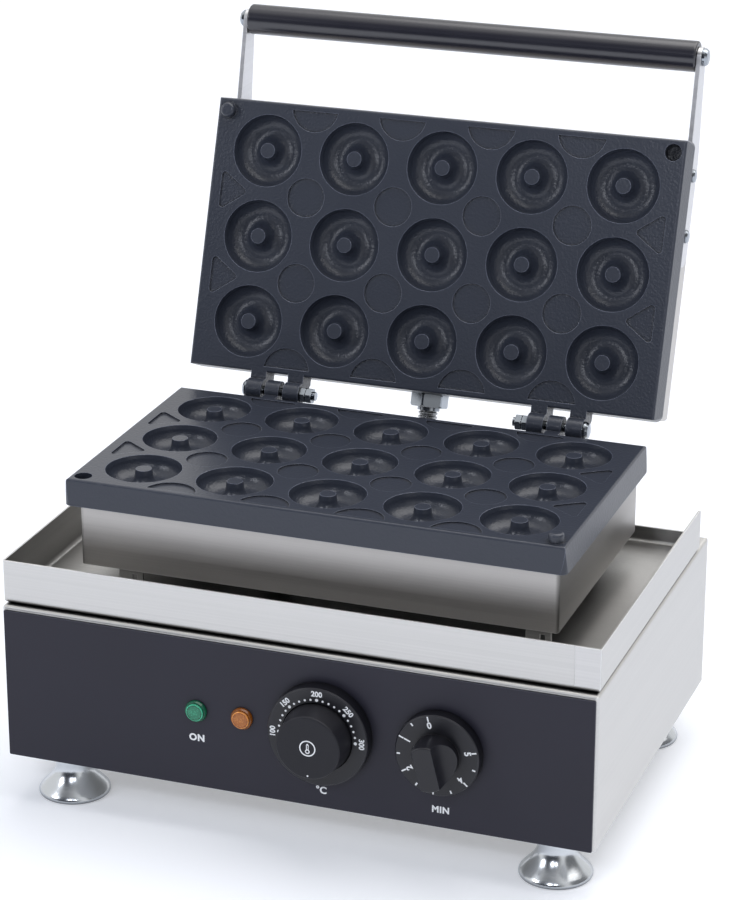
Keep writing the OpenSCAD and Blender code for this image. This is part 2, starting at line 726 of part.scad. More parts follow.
// Two flat bars that hold the element against the plate
module element_clamps() {
    for (x = [-clamp_x, clamp_x]) translate([x, plate_mid_y, clamp_z - clamp_t]) difference() {
        translate([-clamp_w / 2, -element_runs * element_pitch / 2, 0])
            cube([clamp_w, element_runs * element_pitch, clamp_t]);
        for (side = [-1, 1]) translate([0, side * element_pitch, -1]) cylinder(r = 2 + hole_gap, h = clamp_t + 2);
    }
}

module clamp_screws() {
    for (spot = clamp_screw_spots) translate([spot[0], plate_mid_y + spot[1], clamp_z - clamp_t]) mirror([0, 0, 1])
        pan_screw(8, 3, 4, clamp_t + plate_back_z - clamp_z + clamp_screw_bite - seat_gap);
}

module lower_element() color("#6d6a66") at_hinge() heating_element();
module upper_element() color("#6d6a66") turned_over() heating_element();
module lower_clamps() color(steel) at_hinge() element_clamps();
module upper_clamps() color(steel) turned_over() element_clamps();
module lower_clamp_screws() color(chrome_grey) at_hinge() clamp_screws();
module upper_clamp_screws() color(chrome_grey) turned_over() clamp_screws();

// ---- Hinge bolts ----

bolt_head_d = hinge_bolt_d * 2;
bolt_head_h = 3.8;
nut_h = 4.2;

// Bolts with their round heads outboard
module hinge_bolts() {
    color(chrome_grey) on_lid() for (side = [-1, 1]) translate([side * hinge_x, 0, 0])
        rotate([0, side * 90, 0]) translate([0, 0, ear_x + ear_w])
            pan_screw(bolt_head_d, bolt_head_h, hinge_bolt_d, 2 * (ear_x + ear_w) + 2 * nut_h + 2.6);
}

// A nut and a lock nut on the inboard end of each bolt
module hinge_nuts() {
    color(chrome_grey) on_lid() for (side = [-1, 1], i = [0, 1])
        translate([side * (hinge_x - ear_x - ear_w - i * (nut_h + 0.4)), 0, 0]) rotate([0, -side * 90, 0])
            difference() {
                hex_nut(hinge_bolt_d * 1.65, nut_h);
                translate([0, 0, -1]) cylinder(r = bolt_r + fit_gap, h = nut_h + 2);
            }
}

// ---- Handle ----

arm_screw_d = 5;
arm_screw_spots = [[-arm_start - 10, arm_lift], [-arm_knee + 10, arm_lift]];
grip_spot = [-grip_reach, grip_lift];
grip_half = housing_w / 2 - seat_gap;
grip_bolt_d = 8;
grip_bolt_l = 26;
grip_edge_r = 1.5;

// Flat arm on the side of the lid's housing, bent forward to the grip
module handle_arm(side) {
    color(steel) on_lid() translate([side > 0 ? housing_w / 2 : -housing_w / 2 - arm_t, 0, 0])
        rotate([90, 0, 90]) difference() {
            union() {
                for (x = [-arm_start, -arm_knee]) translate([x, arm_lift, 0]) cylinder(r = arm_w / 2, h = arm_t);
                translate(grip_spot) cylinder(r = arm_tip_w / 2, h = arm_t);
                linear_extrude(arm_t) bar_web([-arm_start, arm_lift], [-arm_knee, arm_lift], arm_w / 2, arm_w / 2);
                linear_extrude(arm_t) bar_web([-arm_knee, arm_lift], grip_spot, arm_w / 2, arm_tip_w / 2);
            }
            for (spot = arm_screw_spots)
                translate([spot[0], spot[1], -1]) cylinder(r = arm_screw_d / 2 + hole_gap, h = arm_t + 2);
            translate([grip_spot[0], grip_spot[1], -1]) cylinder(r = grip_bolt_d / 2 + hole_gap, h = arm_t + 2);
        }
}

module handle_arm_left() handle_arm(-1);
module handle_arm_right() handle_arm(1);

module arm_screws() {
    color(chrome_grey) on_lid() for (side = [-1, 1], spot = arm_screw_spots)
        translate([side * (housing_w / 2 + arm_t), spot[0], spot[1]]) rotate([0, side * 90, 0])
            pan_screw(arm_screw_d * 1.8, 2.6, arm_screw_d, arm_t + sheet_t + 3);
}

module handle_grip() {
    color(black) on_lid() translate([0, grip_spot[0], grip_spot[1]]) rotate([0, 90, 0]) difference() {
        translate([0, 0, -grip_half]) rotate_extrude() {
            square([grip_d / 2 - grip_edge_r, 2 * grip_half]);
            translate([0, grip_edge_r]) square([grip_d / 2, 2 * (grip_half - grip_edge_r)]);
            for (z = [grip_edge_r, 2 * grip_half - grip_edge_r])
                translate([grip_d / 2 - grip_edge_r, z]) circle(grip_edge_r);
        }
        for (end = [-1, 1]) translate([0, 0, end * (grip_half - grip_bolt_l / 2 + 0.5)])
            cylinder(r = grip_bolt_d / 2 + fit_gap, h = grip_bolt_l + 1, center = true);
    }
}

module handle_bolts() {
    color(chrome_grey) on_lid() for (side = [-1, 1])
        translate([side * (housing_w / 2 + arm_t), grip_spot[0], grip_spot[1]]) rotate([0, side * 90, 0])
            pan_screw(grip_bolt_d * 1.5, 4, grip_bolt_d, arm_t + grip_bolt_l - 3);
}

// ---- Conduit to the lid ----

nut_collar_h = 2.4;
base_nut_h = 8;
lid_nut_h = 9.6;
lid_nut_turn = -26;
conduit_y1 = housing_rear_y + lid_nut_h + nut_collar_h + fit_gap;
conduit_top = [
    hinge_y + conduit_y1 * cos(open_angle) + conduit_entry_z * sin(open_angle),
    hinge_z - conduit_y1 * sin(open_angle) + conduit_entry_z * cos(open_angle)
];
conduit_low_z = base_z1 + base_nut_h + nut_collar_h;
conduit_lean = open_angle - 90;
lean_run = (conduit_top[0] - strip_y) / sin(conduit_lean);
bend_z = conduit_top[1] - lean_run * cos(conduit_lean);
bend_run = 0.8 * min(lean_run, bend_z - conduit_low_z);
conduit_bend_r = bend_run / tan(conduit_lean / 2);

// One bend between two straight end sleeves
module flexible_conduit() {
    sleeve_d = conduit_d + 1;
    grip_l = 1;
    color("#8d8f92") on_base() translate([0, strip_y + conduit_bend_r, bend_z - bend_run])
        rotate([-90, 0, 90]) rotate([0, 0, 180]) {
            rotate_extrude(angle = conduit_lean) translate([conduit_bend_r, 0]) circle(d = conduit_d);
            translate([conduit_bend_r, grip_l, 0]) rotate([90, 0, 0])
                cylinder(d = sleeve_d, h = bend_z - bend_run - conduit_low_z + grip_l);
            rotate([0, 0, conduit_lean]) translate([conduit_bend_r, -grip_l, 0]) rotate([-90, 0, 0])
                cylinder(d = sleeve_d, h = lean_run - bend_run + grip_l);
        }
}

// Hexagon nut with a round collar that the conduit ends in
module conduit_nut(h) {
    difference() {
        union() {
            hex_nut(conduit_nut_af, h);
            cylinder(d = conduit_d + 2, h = h + nut_collar_h);
        }
        translate([0, 0, -1]) cylinder(d = conduit_d - 3, h = h + nut_collar_h + 2);
    }
}

module conduit_base_nut() {
    color(chrome_grey) on_base() translate([0, strip_y, base_z1]) conduit_nut(base_nut_h);
}

module conduit_lid_nut() {
    color(chrome_grey) on_lid() translate([0, housing_rear_y, conduit_entry_z]) rotate([-90, 0, 0])
        rotate([0, 0, lid_nut_turn]) conduit_nut(lid_nut_h);
}

// ---- Mains gland ----

gland_len = 22;

module cord_gland() {
    color("#26262a") on_base() translate([cord_gland_x, base_d, base_z0 + cord_gland_z]) rotate([-90, 0, 0])
        difference() {
            union() {
                translate([0, 0, -8]) cylinder(r = gland_hole_r - hole_gap, h = 9);
                hex_nut(2 * gland_hole_r + 5, 6);
                translate([0, 0, 5]) rotate_extrude() polygon([
                    [0, 0], [gland_hole_r + 1.5, 0], [gland_hole_r + 1.5, 9], [gland_hole_r - 1.5, gland_len - 5],
                    [0, gland_len - 5]
                ]);
            }
            translate([0, 0, -10]) cylinder(r = cord_d / 2 + 0.2, h = gland_len + 12);
        }
}

module cord_gland_nut() {
    color("#26262a") on_base() translate([cord_gland_x, base_d - sheet_t, base_z0 + cord_gland_z])
        rotate([90, 0, 0]) difference() {
            hex_nut(2 * gland_hole_r + 4, 5);
            translate([0, 0, -1]) cylinder(r = gland_hole_r, h = 8);
        }
}

// ---- Controls ----

panel_back = fascia_t + sheet_t;
thermostat_box = [34, 40, 34];
timer_box = [46, 44, 46];
bush_front = 0.2;

// Control body behind the front wall, with its bush in the wall
module control_body(x, box) {
    on_base() translate([x, 0, control_h]) difference() {
        union() {
            translate([-box[0] / 2, panel_back, -box[2] / 2]) cube(box);
            rod_y(bush_r, bush_front, panel_back + 1);
        }
        rod_y(shaft_d / 2 + fit_gap, -1, panel_back + 12);
    }
}

module thermostat_body() color("#b9b6a8") control_body(thermostat_x, thermostat_box);
module timer_body() color("#a9abad") control_body(timer_x, timer_box);

// Pipe of round rods through a list of points, with a ball at each bend
module pipe(points, d) {
    for (i = [0:len(points) - 2]) let (step = points[i + 1] - points[i])
        translate(points[i]) rotate([0, acos(step[2] / norm(step)), atan2(step[1], step[0])])
            cylinder(d = d, h = norm(step));
    for (i = [1:len(points) - 2]) translate(points[i]) sphere(d = d);
}

capillary_d = 2;
capillary_rise = 12;
bulb_d = 6;
bulb_l = 70;
bulb_x = wiring_spot[0] + 20;
bulb_z = hinge_z + plate_back_z - bulb_d / 2 - seat_gap;
bulb_y = hinge_y + plate_mid_y;

// Sensing bulb under the lower plate and the thin tube from it to the thermostat
module thermostat_capillary() {
    turn_z = control_h + thermostat_box[2] / 2 + capillary_rise;
    back_y = panel_back + thermostat_box[1] - 10;
    color("#b87345") on_base() {
        pipe([
            [thermostat_x, back_y, control_h + thermostat_box[2] / 2], [thermostat_x, back_y, turn_z],
            [wiring_spot[0], back_y, turn_z], [wiring_spot[0], wiring_spot[1], turn_z],
            [wiring_spot[0], wiring_spot[1], housing_z0 + capillary_rise], [bulb_x, bulb_y, bulb_z]
        ], capillary_d);
        translate([0, bulb_y, bulb_z]) rod_x(bulb_d / 2, bulb_x, bulb_x + bulb_l);
    }
}

terminal_ways = 5;
terminal_size = [56, 20, 18];
terminal_well_d = 5;
terminal_well_depth = 8;

module terminal_block() {
    block = terminal_size;
    color("#e8e4da") on_base() translate([-base_w / 4 - block[0] / 2, base_d * 0.62, floor_z1]) difference() {
        cube(block);
        for (i = [0:terminal_ways - 1], row = [0.25, 0.75])
            translate([block[0] * (i + 0.5) / terminal_ways, block[1] * row, block[2] - terminal_well_depth])
                cylinder(d = terminal_well_d, h = terminal_well_depth + 1);
    }
}

lamp_proud = 2.4;
lamp_stem_l = 22;

// Domed lens with its stem through the panel
module lamp_lens(x) {
    dome_r = lamp_r - 1.3;
    on_base() translate([x, 0, control_h]) rotate([90, 0, 0]) {
        translate([0, 0, -lamp_stem_l]) cylinder(r = lamp_hole_r - hole_gap, h = lamp_stem_l + lamp_proud - 1);
        translate([0, 0, lamp_proud - 1]) rotate_extrude() {
            square([dome_r - 1, 2.4]);
            square([dome_r, 1.4]);
            intersection() {
                translate([dome_r - 1, 1.4]) circle(1);
                square([dome_r, 2.4]);
            }
        }
    }
}

module green_lamp_lens() color("#1fa04a") lamp_lens(green_lamp_x);
module amber_lamp_lens() color("#e8701a") lamp_lens(amber_lamp_x);

module lamp_rims() {
    color("#2b2b31") on_base() for (x = [green_lamp_x, amber_lamp_x]) translate([x, 0, control_h])
        rotate([90, 0, 0]) rotate_extrude() {
            polygon([
                [lamp_hole_r, 0], [lamp_r, 0], [lamp_r, lamp_proud - 1], [lamp_r - 0.6, lamp_proud],
                [lamp_r - 1.2, lamp_proud], [lamp_r - 1.2, lamp_proud - 1.1], [lamp_hole_r, lamp_proud - 1.1]
            ]);
        }
}

// ---- Knobs ----

knob_wall = 2;
knob_edge_r = 1.4;
knob_taper = 1.6;
shaft_end = 12;
hub_r = shaft_d / 2 + 3;
ring_gap = 0.6;

// Turns a knob or dial so that its axis points to the front, from the face of the fascia
module on_panel(x) {
    on_base() translate([x, 0, control_h]) rotate([90, 0, 0]) children();
}

// Moulded scale ring, fixed on the fascia and hollow behind
module temperature_scale() {
    inner_r = thermostat_knob_r + knob_taper + ring_gap;
    color(black) on_panel(thermostat_x) rotate_extrude() polygon([
        [inner_r, 0], [inner_r + knob_wall, 0], [inner_r + knob_wall, scale_ring_h - knob_wall],
        [scale_ring_r - knob_wall, scale_ring_h - knob_wall], [scale_ring_r - knob_wall, 0], [scale_ring_r, 0],
        [scale_ring_r, scale_ring_h - 0.8], [scale_ring_r - 0.8, scale_ring_h], [inner_r, scale_ring_h]
    ]);
}

// Hollow of a moulded knob of radius r, round its hub
module knob_hollow(r, h) {
    rotate_extrude() polygon([
        [hub_r, 0], [r - knob_wall, 0], [r - knob_wall, h - knob_wall], [hub_r, h - knob_wall]
    ]);
}

// Bore for the shaft
module knob_bore() {
    translate([0, 0, -1]) cylinder(r = shaft_d / 2 + fit_gap, h = shaft_end + 1 + seat_gap);
}

// Round knob that tapers to its face
module temperature_knob() {
    r0 = thermostat_knob_r + knob_taper;
    r1 = thermostat_knob_r;
    h = thermostat_knob_h;
    color(black) on_panel(thermostat_x) difference() {
        rotate_extrude() {
            polygon([
                [0, knob_gap], [r0, knob_gap], [r0, scale_ring_h], [r1, h - knob_edge_r],
                [r1 - knob_edge_r, h], [0, h]
            ]);
            translate([r1 - knob_edge_r, h - knob_edge_r]) circle(knob_edge_r);
        }
        knob_hollow(r0, scale_ring_h);
        knob_bore();
    }
}

// Steel shaft from the control body into a knob
module control_shaft(x) {
    color(chrome_grey) on_panel(x)
        translate([0, 0, -panel_back - 11]) cylinder(d = shaft_d, h = panel_back + 11 + shaft_end);
}

module thermostat_shaft() control_shaft(thermostat_x);

// Scale disc with a round hub that is cut down to a bar, with hollow flanks
module timer_knob() {
    disc_top = knob_gap + timer_disc_h;
    flank_r = timer_knob_h - disc_top - 1;
    color(black) on_panel(timer_x) rotate([0, 0, timer_bar_angle]) difference() {
        union() {
            rotate_extrude() polygon([
                [0, knob_gap], [timer_disc_r, knob_gap], [timer_disc_r, disc_top - 0.8],
                [timer_disc_r - 0.8, disc_top], [0, disc_top]
            ]);
            difference() {
                rotate_extrude() {
                    polygon([
                        [0, disc_top - 1], [timer_hub_r, disc_top - 1], [timer_hub_r, timer_knob_h - 1],
                        [timer_hub_r - 1, timer_knob_h], [0, timer_knob_h]
                    ]);
                    translate([timer_hub_r - 1, timer_knob_h - 1]) circle(1);
                }
                for (side = [-1, 1]) translate([side * (timer_bar_w / 2 + flank_r), 0, timer_knob_h])
                    rotate([90, 0, 0]) cylinder(r = flank_r, h = 4 * timer_hub_r, center = true);
            }
        }
        knob_hollow(timer_disc_r, disc_top);
        knob_bore();
    }
}

module timer_shaft() control_shaft(timer_x);

base_housing();
base_floor();
floor_screws();
control_fascia();
drip_tray();
foot_front_left();
foot_front_right();
foot_rear_left();
foot_rear_right();
foot_nuts();
housing_brackets();
wiring_tube();
lower_housing();
lower_plate();
lower_element();
lower_clamps();
lower_clamp_screws();
thermostat_body();
thermostat_capillary();
timer_body();
terminal_block();
green_lamp_lens();
amber_lamp_lens();
lamp_rims();
cord_gland();
cord_gland_nut();
conduit_base_nut();
flexible_conduit();
upper_plate();
upper_housing();
upper_element();
upper_clamps();
upper_clamp_screws();
hinge_bolts();
hinge_nuts();
handle_arm_left();
handle_arm_right();
arm_screws();
handle_grip();
handle_bolts();
conduit_lid_nut();
temperature_scale();
temperature_knob();
thermostat_shaft();
timer_knob();
timer_shaft();
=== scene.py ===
"""Table-top maker for small ring doughnuts, with its lid open."""
from math import cos, pi, radians, sin

import bpy
from mathutils import Matrix, Vector


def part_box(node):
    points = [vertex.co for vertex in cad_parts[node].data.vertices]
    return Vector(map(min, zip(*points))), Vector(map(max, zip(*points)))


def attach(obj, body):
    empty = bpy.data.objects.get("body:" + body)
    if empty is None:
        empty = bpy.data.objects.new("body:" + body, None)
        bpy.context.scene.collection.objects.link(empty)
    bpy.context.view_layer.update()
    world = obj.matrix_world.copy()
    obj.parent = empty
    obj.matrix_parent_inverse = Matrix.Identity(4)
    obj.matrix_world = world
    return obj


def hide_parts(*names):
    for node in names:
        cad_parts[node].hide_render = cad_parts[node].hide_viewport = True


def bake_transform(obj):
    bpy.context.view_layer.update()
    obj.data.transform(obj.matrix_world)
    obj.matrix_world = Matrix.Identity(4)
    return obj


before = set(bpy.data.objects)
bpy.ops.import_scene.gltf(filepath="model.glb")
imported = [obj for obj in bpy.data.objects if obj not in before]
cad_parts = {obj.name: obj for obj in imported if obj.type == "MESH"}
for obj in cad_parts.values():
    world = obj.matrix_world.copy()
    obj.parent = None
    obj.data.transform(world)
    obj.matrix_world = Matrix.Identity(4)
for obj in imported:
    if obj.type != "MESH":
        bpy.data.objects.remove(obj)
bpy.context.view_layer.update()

# ---- Camera ----
# A long lens, a little above the machine and to the right of its middle. It is panned about the
# upright, tilted about its level axis and rolled a trifle about its line of sight.

camera_place = Vector((0.64858, -1.79808, 0.94777))
camera_pan, camera_tilt = radians(19.938), radians(90 - 20.937)
camera_turn = Matrix.Rotation(camera_pan, 4, "Z") @ Matrix.Rotation(camera_tilt, 4, "X")
camera_roll = Matrix.Rotation(radians(0.0845), 4, "Z")

bpy.ops.object.camera_add()
camera = bpy.context.object
camera.name = "camera"
camera.matrix_world = Matrix.Translation(camera_place) @ camera_turn @ camera_roll
camera.data.lens = 123.74
camera.data.sensor_width = 36
camera.data.clip_start = 0.05
camera.data.clip_end = 60
bpy.context.scene.camera = camera
bpy.context.scene.view_settings.view_transform = "Standard"

# ---- Studio ----
# A white floor in white surroundings. To mirroring metal they are dim above and behind the camera
# and on a screen at the right. An overhead light shines through a wide diffuser, with a weaker
# lamp from the left and two small ones in front that glint in the plated parts.

def colour(text):
    """sRGB hex colour as linear RGBA."""
    parts = [int(text[i:i + 2], 16) / 255 for i in (1, 3, 5)]
    return [p / 12.92 if p <= 0.04045 else ((p + 0.055) / 1.055) ** 2.4 for p in parts] + [1]


def add(tree, kind, links=(), values=(), **settings):
    """Adds a node. Settings are properties or named inputs, values are (input number, value) and
    links are (input, source node, source output). In a Mix node, input 0 is the share of the
    second of a pair: inputs 2 and 3 with output 0 for numbers, 6 and 7 with output 2 for colours.
    """
    node = tree.nodes.new(kind)
    for key, value in settings.items():
        if hasattr(node, key):
            setattr(node, key, value)
        else:
            node.inputs[key.replace("_", " ")].default_value = value
    for number, value in values:
        node.inputs[number].default_value = value
    for target, source, output in links:
        tree.links.new(source.outputs[output], node.inputs[target])
    return node


def new_material(name):
    """Material with no nodes yet, and its node tree."""
    material = bpy.data.materials.new(name)
    material.use_nodes = True
    material.node_tree.nodes.clear()
    return material, material.node_tree


def seen_directly(tree):
    """1 for rays from the camera and for what metal and glass mirror, 0 for light on the object."""
    path = add(tree, "ShaderNodeLightPath")
    two = add(tree, "ShaderNodeMath", operation="MAXIMUM",
              links=[(0, path, "Is Camera Ray"), (1, path, "Is Glossy Ray")])
    return add(tree, "ShaderNodeMath", operation="MAXIMUM",
               links=[(0, two, 0), (1, path, "Is Transmission Ray")])


dim_side = Vector((-0.12, -0.93, 0.30)).normalized()
screen_side = Vector((0.87, 0.1, 0.36)).normalized()

world = bpy.data.worlds.new("studio")
bpy.context.scene.world = world
world.use_nodes = True
tree = world.node_tree
tree.nodes.clear()
way = add(tree, "ShaderNodeTexCoord")
path = add(tree, "ShaderNodeLightPath")

# How dark it is that way: fully towards dim_side, and almost fully towards the screen. The limits
# of each are cosines of the angle from its middle.
towards_dim = add(tree, "ShaderNodeVectorMath", operation="DOT_PRODUCT", values=[(1, dim_side)],
                  links=[(0, way, "Generated")])
dimness = add(tree, "ShaderNodeMapRange", interpolation_type="SMOOTHSTEP",
              From_Min=0.55, From_Max=0.92, links=[(0, towards_dim, "Value")])
towards_screen = add(tree, "ShaderNodeVectorMath", operation="DOT_PRODUCT",
                     values=[(1, screen_side)], links=[(0, way, "Generated")])
screen = add(tree, "ShaderNodeMapRange", interpolation_type="SMOOTHSTEP",
             From_Min=0.8, From_Max=0.93, To_Max=0.8, links=[(0, towards_screen, "Value")])

# Only what metal mirrors is darkened. The camera sees white, and the object is lit by a pale sky.
dim_both = add(tree, "ShaderNodeMath", operation="MAXIMUM", links=[(0, dimness, 0), (1, screen, 0)])
dim_mirrored = add(tree, "ShaderNodeMath", operation="MULTIPLY",
                   links=[(0, dim_both, 0), (1, path, "Is Glossy Ray")])
ambient = add(tree, "ShaderNodeBackground", Color=colour("#d8e1f2"), Strength=0.42)
white = add(tree, "ShaderNodeBackground", Color=colour("#ffffff"), Strength=1.0)
dark_room = add(tree, "ShaderNodeBackground", Color=colour("#3a3d44"), Strength=1.0)
mirrored = add(tree, "ShaderNodeMixShader",
               links=[(0, dim_mirrored, 0), (1, white, 0), (2, dark_room, 0)])
surroundings = add(tree, "ShaderNodeMixShader",
                   links=[(0, seen_directly(tree), 0), (1, ambient, 0), (2, mirrored, 0)])
add(tree, "ShaderNodeOutputWorld", links=[(0, surroundings, 0)])

# The paper glows a little to the camera, so that the lit floor is white and its shadows stay.
bpy.ops.mesh.primitive_plane_add(size=14, location=(0, 0, 0))
floor = bpy.context.object
floor.name = "floor"
white_paper, tree = new_material("white paper")
paper = add(tree, "ShaderNodeBsdfDiffuse", Color=colour("#eceef2"))
glow = add(tree, "ShaderNodeEmission", Color=colour("#ffffff"), Strength=0.23)
glow_seen = add(tree, "ShaderNodeMixShader", links=[(0, seen_directly(tree), 0), (2, glow, 0)])
lit = add(tree, "ShaderNodeAddShader", links=[(0, paper, 0), (1, glow_seen, 0)])
add(tree, "ShaderNodeOutputMaterial", links=[(0, lit, 0)])
floor.data.materials.append(white_paper)

bpy.ops.object.light_add(type="SUN", rotation=(radians(-16), radians(16), 0))
overhead = bpy.context.object
overhead.name = "overhead light"
overhead.data.angle = radians(70)
overhead.data.energy = 2.35
overhead.data.color = colour("#fffdfb")[:3]

lamp_target = Vector((0, 0, 0.2))


def soft_lamp(name, place, size, power):
    """Square lamp that shines on the middle of the machine."""
    bpy.ops.object.light_add(type="AREA", location=place)
    lamp = bpy.context.object
    lamp.name = name
    lamp.data.shape = "SQUARE"
    lamp.data.size = size
    lamp.data.energy = power
    lamp.data.color = colour("#f4f7ff")[:3]
    lamp.rotation_euler = (lamp_target - Vector(place)).to_track_quat("-Z", "Y").to_euler()


soft_lamp("lamp from the left", (-2.2, -2.0, 1.8), 0.8, 20)
soft_lamp("front lamp left", (0.1, -2.6, 1.9), 0.3, 12)
soft_lamp("front lamp right", (0.9, -2.5, 1.9), 0.22, 5)

# ---- Base cabinet and drip tray ----
# Folded from 1.2 mm stainless sheet with a level brushed face. The tray lies loose on the cabinet.
# Its right wall has a tab that is folded round the front corner and spot-welded to the front wall.

def dress(material, *nodes):
    """Gives CAD nodes their material."""
    for node in nodes:
        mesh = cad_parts[node].data
        mesh.materials.clear()
        mesh.materials.append(material)


def worn_edge(tree, radius):
    """1 on sharp edges and 0 on flat faces, for the painted highlight: the bright line that light
    draws along them.
    """
    rounded = add(tree, "ShaderNodeBevel", samples=4, Radius=radius)
    flat = add(tree, "ShaderNodeNewGeometry")
    alike = add(tree, "ShaderNodeVectorMath", operation="DOT_PRODUCT",
                links=[(0, rounded, 0), (1, flat, "Normal")])
    return add(tree, "ShaderNodeMapRange", From_Min=1.0, From_Max=0.9, links=[(0, alike, "Value")])


def shut_in(tree, reach, least):
    """1 on an open face, falling to `least` deep in a corner or behind another piece, where
    little light comes in."""
    sky = add(tree, "ShaderNodeAmbientOcclusion", samples=6, Distance=reach)
    return add(tree, "ShaderNodeMapRange", From_Min=0.3, From_Max=0.92, To_Min=least, To_Max=1.0,
               links=[(0, sky, "AO")])


def brushed_steel(name, tint, roughness, spread=0.05, edge=0.0006, reach=0.03, least=0.3,
                  front_shade=1.0):
    """Stainless brushed along its length: the grit leaves level lines that smear what it mirrors
    upwards and downwards. Real lines lie 0.05 mm apart; these are 1 mm apart, so that they show,
    in broader bands about 11 mm apart. Sharp edges get a painted highlight, corners and places
    near other pieces get painted shade, and faces that look to the side get painted shade that
    darkens them to `front_shade` from `half_depth` behind the machine's middle to as far in front
    of it."""
    line_gap, line_run = 0.001, 0.5
    across, along = 1 / line_gap, 1 / line_run
    bands_along, bands_across, band_share = 3, 90, 0.6
    half_depth = 0.12
    material, tree = new_material(name)
    place = add(tree, "ShaderNodeTexCoord")

    # Upright faces take lines that are stacked in Z, level faces lines that lie side by side in Y.
    lines_up = add(tree, "ShaderNodeMapping", Scale=(along, along, across),
                   links=[("Vector", place, "Object")])
    lines_flat = add(tree, "ShaderNodeMapping", Scale=(along, across, along),
                     links=[("Vector", place, "Object")])
    grain_up = add(tree, "ShaderNodeTexNoise", Scale=1.0, Detail=3.0,
                   links=[("Vector", lines_up, 0)])
    grain_flat = add(tree, "ShaderNodeTexNoise", Scale=1.0, Detail=3.0,
                     links=[("Vector", lines_flat, 0)])
    facing = add(tree, "ShaderNodeNewGeometry")
    axes = add(tree, "ShaderNodeSeparateXYZ", links=[(0, facing, "Normal")])
    level = add(tree, "ShaderNodeMath", operation="ABSOLUTE", links=[(0, axes, "Z")])
    grain = add(tree, "ShaderNodeMix", data_type="FLOAT",
                links=[(0, level, 0), (2, grain_up, 0), (3, grain_flat, 0)])
    bands_up = add(tree, "ShaderNodeMapping", Scale=(bands_along, bands_along, bands_across),
                   links=[("Vector", place, "Object")])
    bands = add(tree, "ShaderNodeTexNoise", Scale=1.0, Detail=2.0, links=[("Vector", bands_up, 0)])
    both = add(tree, "ShaderNodeMath", operation="MULTIPLY_ADD", values=[(1, band_share)],
               links=[(0, bands, 0), (2, grain, 0)])
    rough = add(tree, "ShaderNodeMapRange", From_Min=0.4, From_Max=1.2,
                To_Min=roughness - spread, To_Max=roughness + spread, links=[(0, both, 0)])
    ramp = add(tree, "ShaderNodeMapRange", From_Min=0.4, From_Max=1.2, To_Min=0.9, To_Max=1.06,
               links=[(0, both, 0)])
    shade = add(tree, "ShaderNodeMix", data_type="RGBA", blend_type="MULTIPLY",
                values=[(0, 1.0), (6, colour(tint))], links=[(7, ramp, 0)])

    # Painted light: a highlight on sharp edges, and painted shade in corners and towards the front
    # of the side faces.
    bright = add(tree, "ShaderNodeMix", data_type="RGBA", values=[(7, colour("#f4f5f6"))],
                 links=[(0, worn_edge(tree, edge), 0), (6, shade, 2)])
    corner = shut_in(tree, reach, least)
    sides = add(tree, "ShaderNodeMath", operation="ABSOLUTE", links=[(0, axes, "X")])
    where = add(tree, "ShaderNodeSeparateXYZ", links=[(0, place, "Object")])
    backwards = add(tree, "ShaderNodeMapRange", From_Min=-half_depth, From_Max=half_depth,
                    To_Min=front_shade, To_Max=1.0, links=[(0, where, "Y")])
    side_shade = add(tree, "ShaderNodeMix", data_type="FLOAT", values=[(2, 1.0)],
                links=[(0, sides, 0), (3, backwards, 0)])
    dark = add(tree, "ShaderNodeMath", operation="MULTIPLY", links=[(0, corner, 0), (1, side_shade, 0)])
    shaded = add(tree, "ShaderNodeMix", data_type="RGBA", blend_type="MULTIPLY",
                 values=[(0, 1.0)], links=[(6, bright, 2), (7, dark, 0)])

    soft_corner = add(tree, "ShaderNodeBevel", samples=4, Radius=edge)
    bump = add(tree, "ShaderNodeBump", Strength=0.06, Distance=0.0001,
               links=[("Height", grain, 0), ("Normal", soft_corner, 0)])
    steel = add(tree, "ShaderNodeBsdfPrincipled", Metallic=1.0,
                links=[("Base Color", shaded, 2), ("Roughness", rough, 0), ("Normal", bump, 0)])
    add(tree, "ShaderNodeOutputMaterial", links=[(0, steel, 0)])
    return material


# Satin sheet: pale and soft in the open, with painted shade where the tray and its brackets stand
# close.
sheet_steel = brushed_steel("brushed stainless sheet", "#c5c4c2", 0.36)
dress(sheet_steel, "drip_tray", "housing_brackets", "wiring_tube")

# The same sheet on the cabinet's wide walls, with painted shade only in the gap under the tray.
cabinet_steel = brushed_steel("brushed stainless cabinet", "#c5c4c2", 0.36,
                              reach=0.005, least=0.1)
dress(cabinet_steel, "base_housing", "base_floor")

# The tab is a shade paler than the wall that it lies on.
tab_steel = brushed_steel("brushed stainless tab", "#cac9c8", 0.4, reach=0.002, least=0.5)
tray_low, tray_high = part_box("drip_tray")
tab_width, tab_thick, tab_foot = 0.0165, 0.0003, 0.0035


def alone(piece):
    """Selects one object and nothing else, because an operator acts on all that is selected."""
    bpy.ops.object.select_all(action="DESELECT")
    piece.select_set(True)
    bpy.context.view_layer.objects.active = piece


def apply_modifiers(piece):
    """Applies a piece's modifiers in their order."""
    alone(piece)
    for modifier in list(piece.modifiers):
        bpy.ops.object.modifier_apply(modifier=modifier.name)


def settle(piece, name, body, material):
    """Puts a piece's place into its mesh, and gives it its name, material and body."""
    alone(piece)
    bpy.ops.object.transform_apply(location=True, rotation=True, scale=True)
    piece.name = name
    piece.data.name = name
    piece.data.materials.clear()
    piece.data.materials.append(material)
    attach(piece, body)


bpy.ops.object.select_all(action="DESELECT")
tab_height = tray_high.z - tray_low.z - tab_foot
bpy.ops.mesh.primitive_cube_add(
    size=1, scale=(tab_width, tab_thick, tab_height),
    location=(tray_high.x - tab_width / 2, tray_low.y - tab_thick / 2,
              tray_high.z - tab_height / 2))
tab = bpy.context.object
bpy.ops.object.transform_apply(location=False, rotation=False, scale=True)
bevel = tab.modifiers.new("pressed edges", "BEVEL")
bevel.width = tab_thick * 0.45
bevel.segments = 2
apply_modifiers(tab)
settle(tab, "tray_tab", "base", tab_steel)

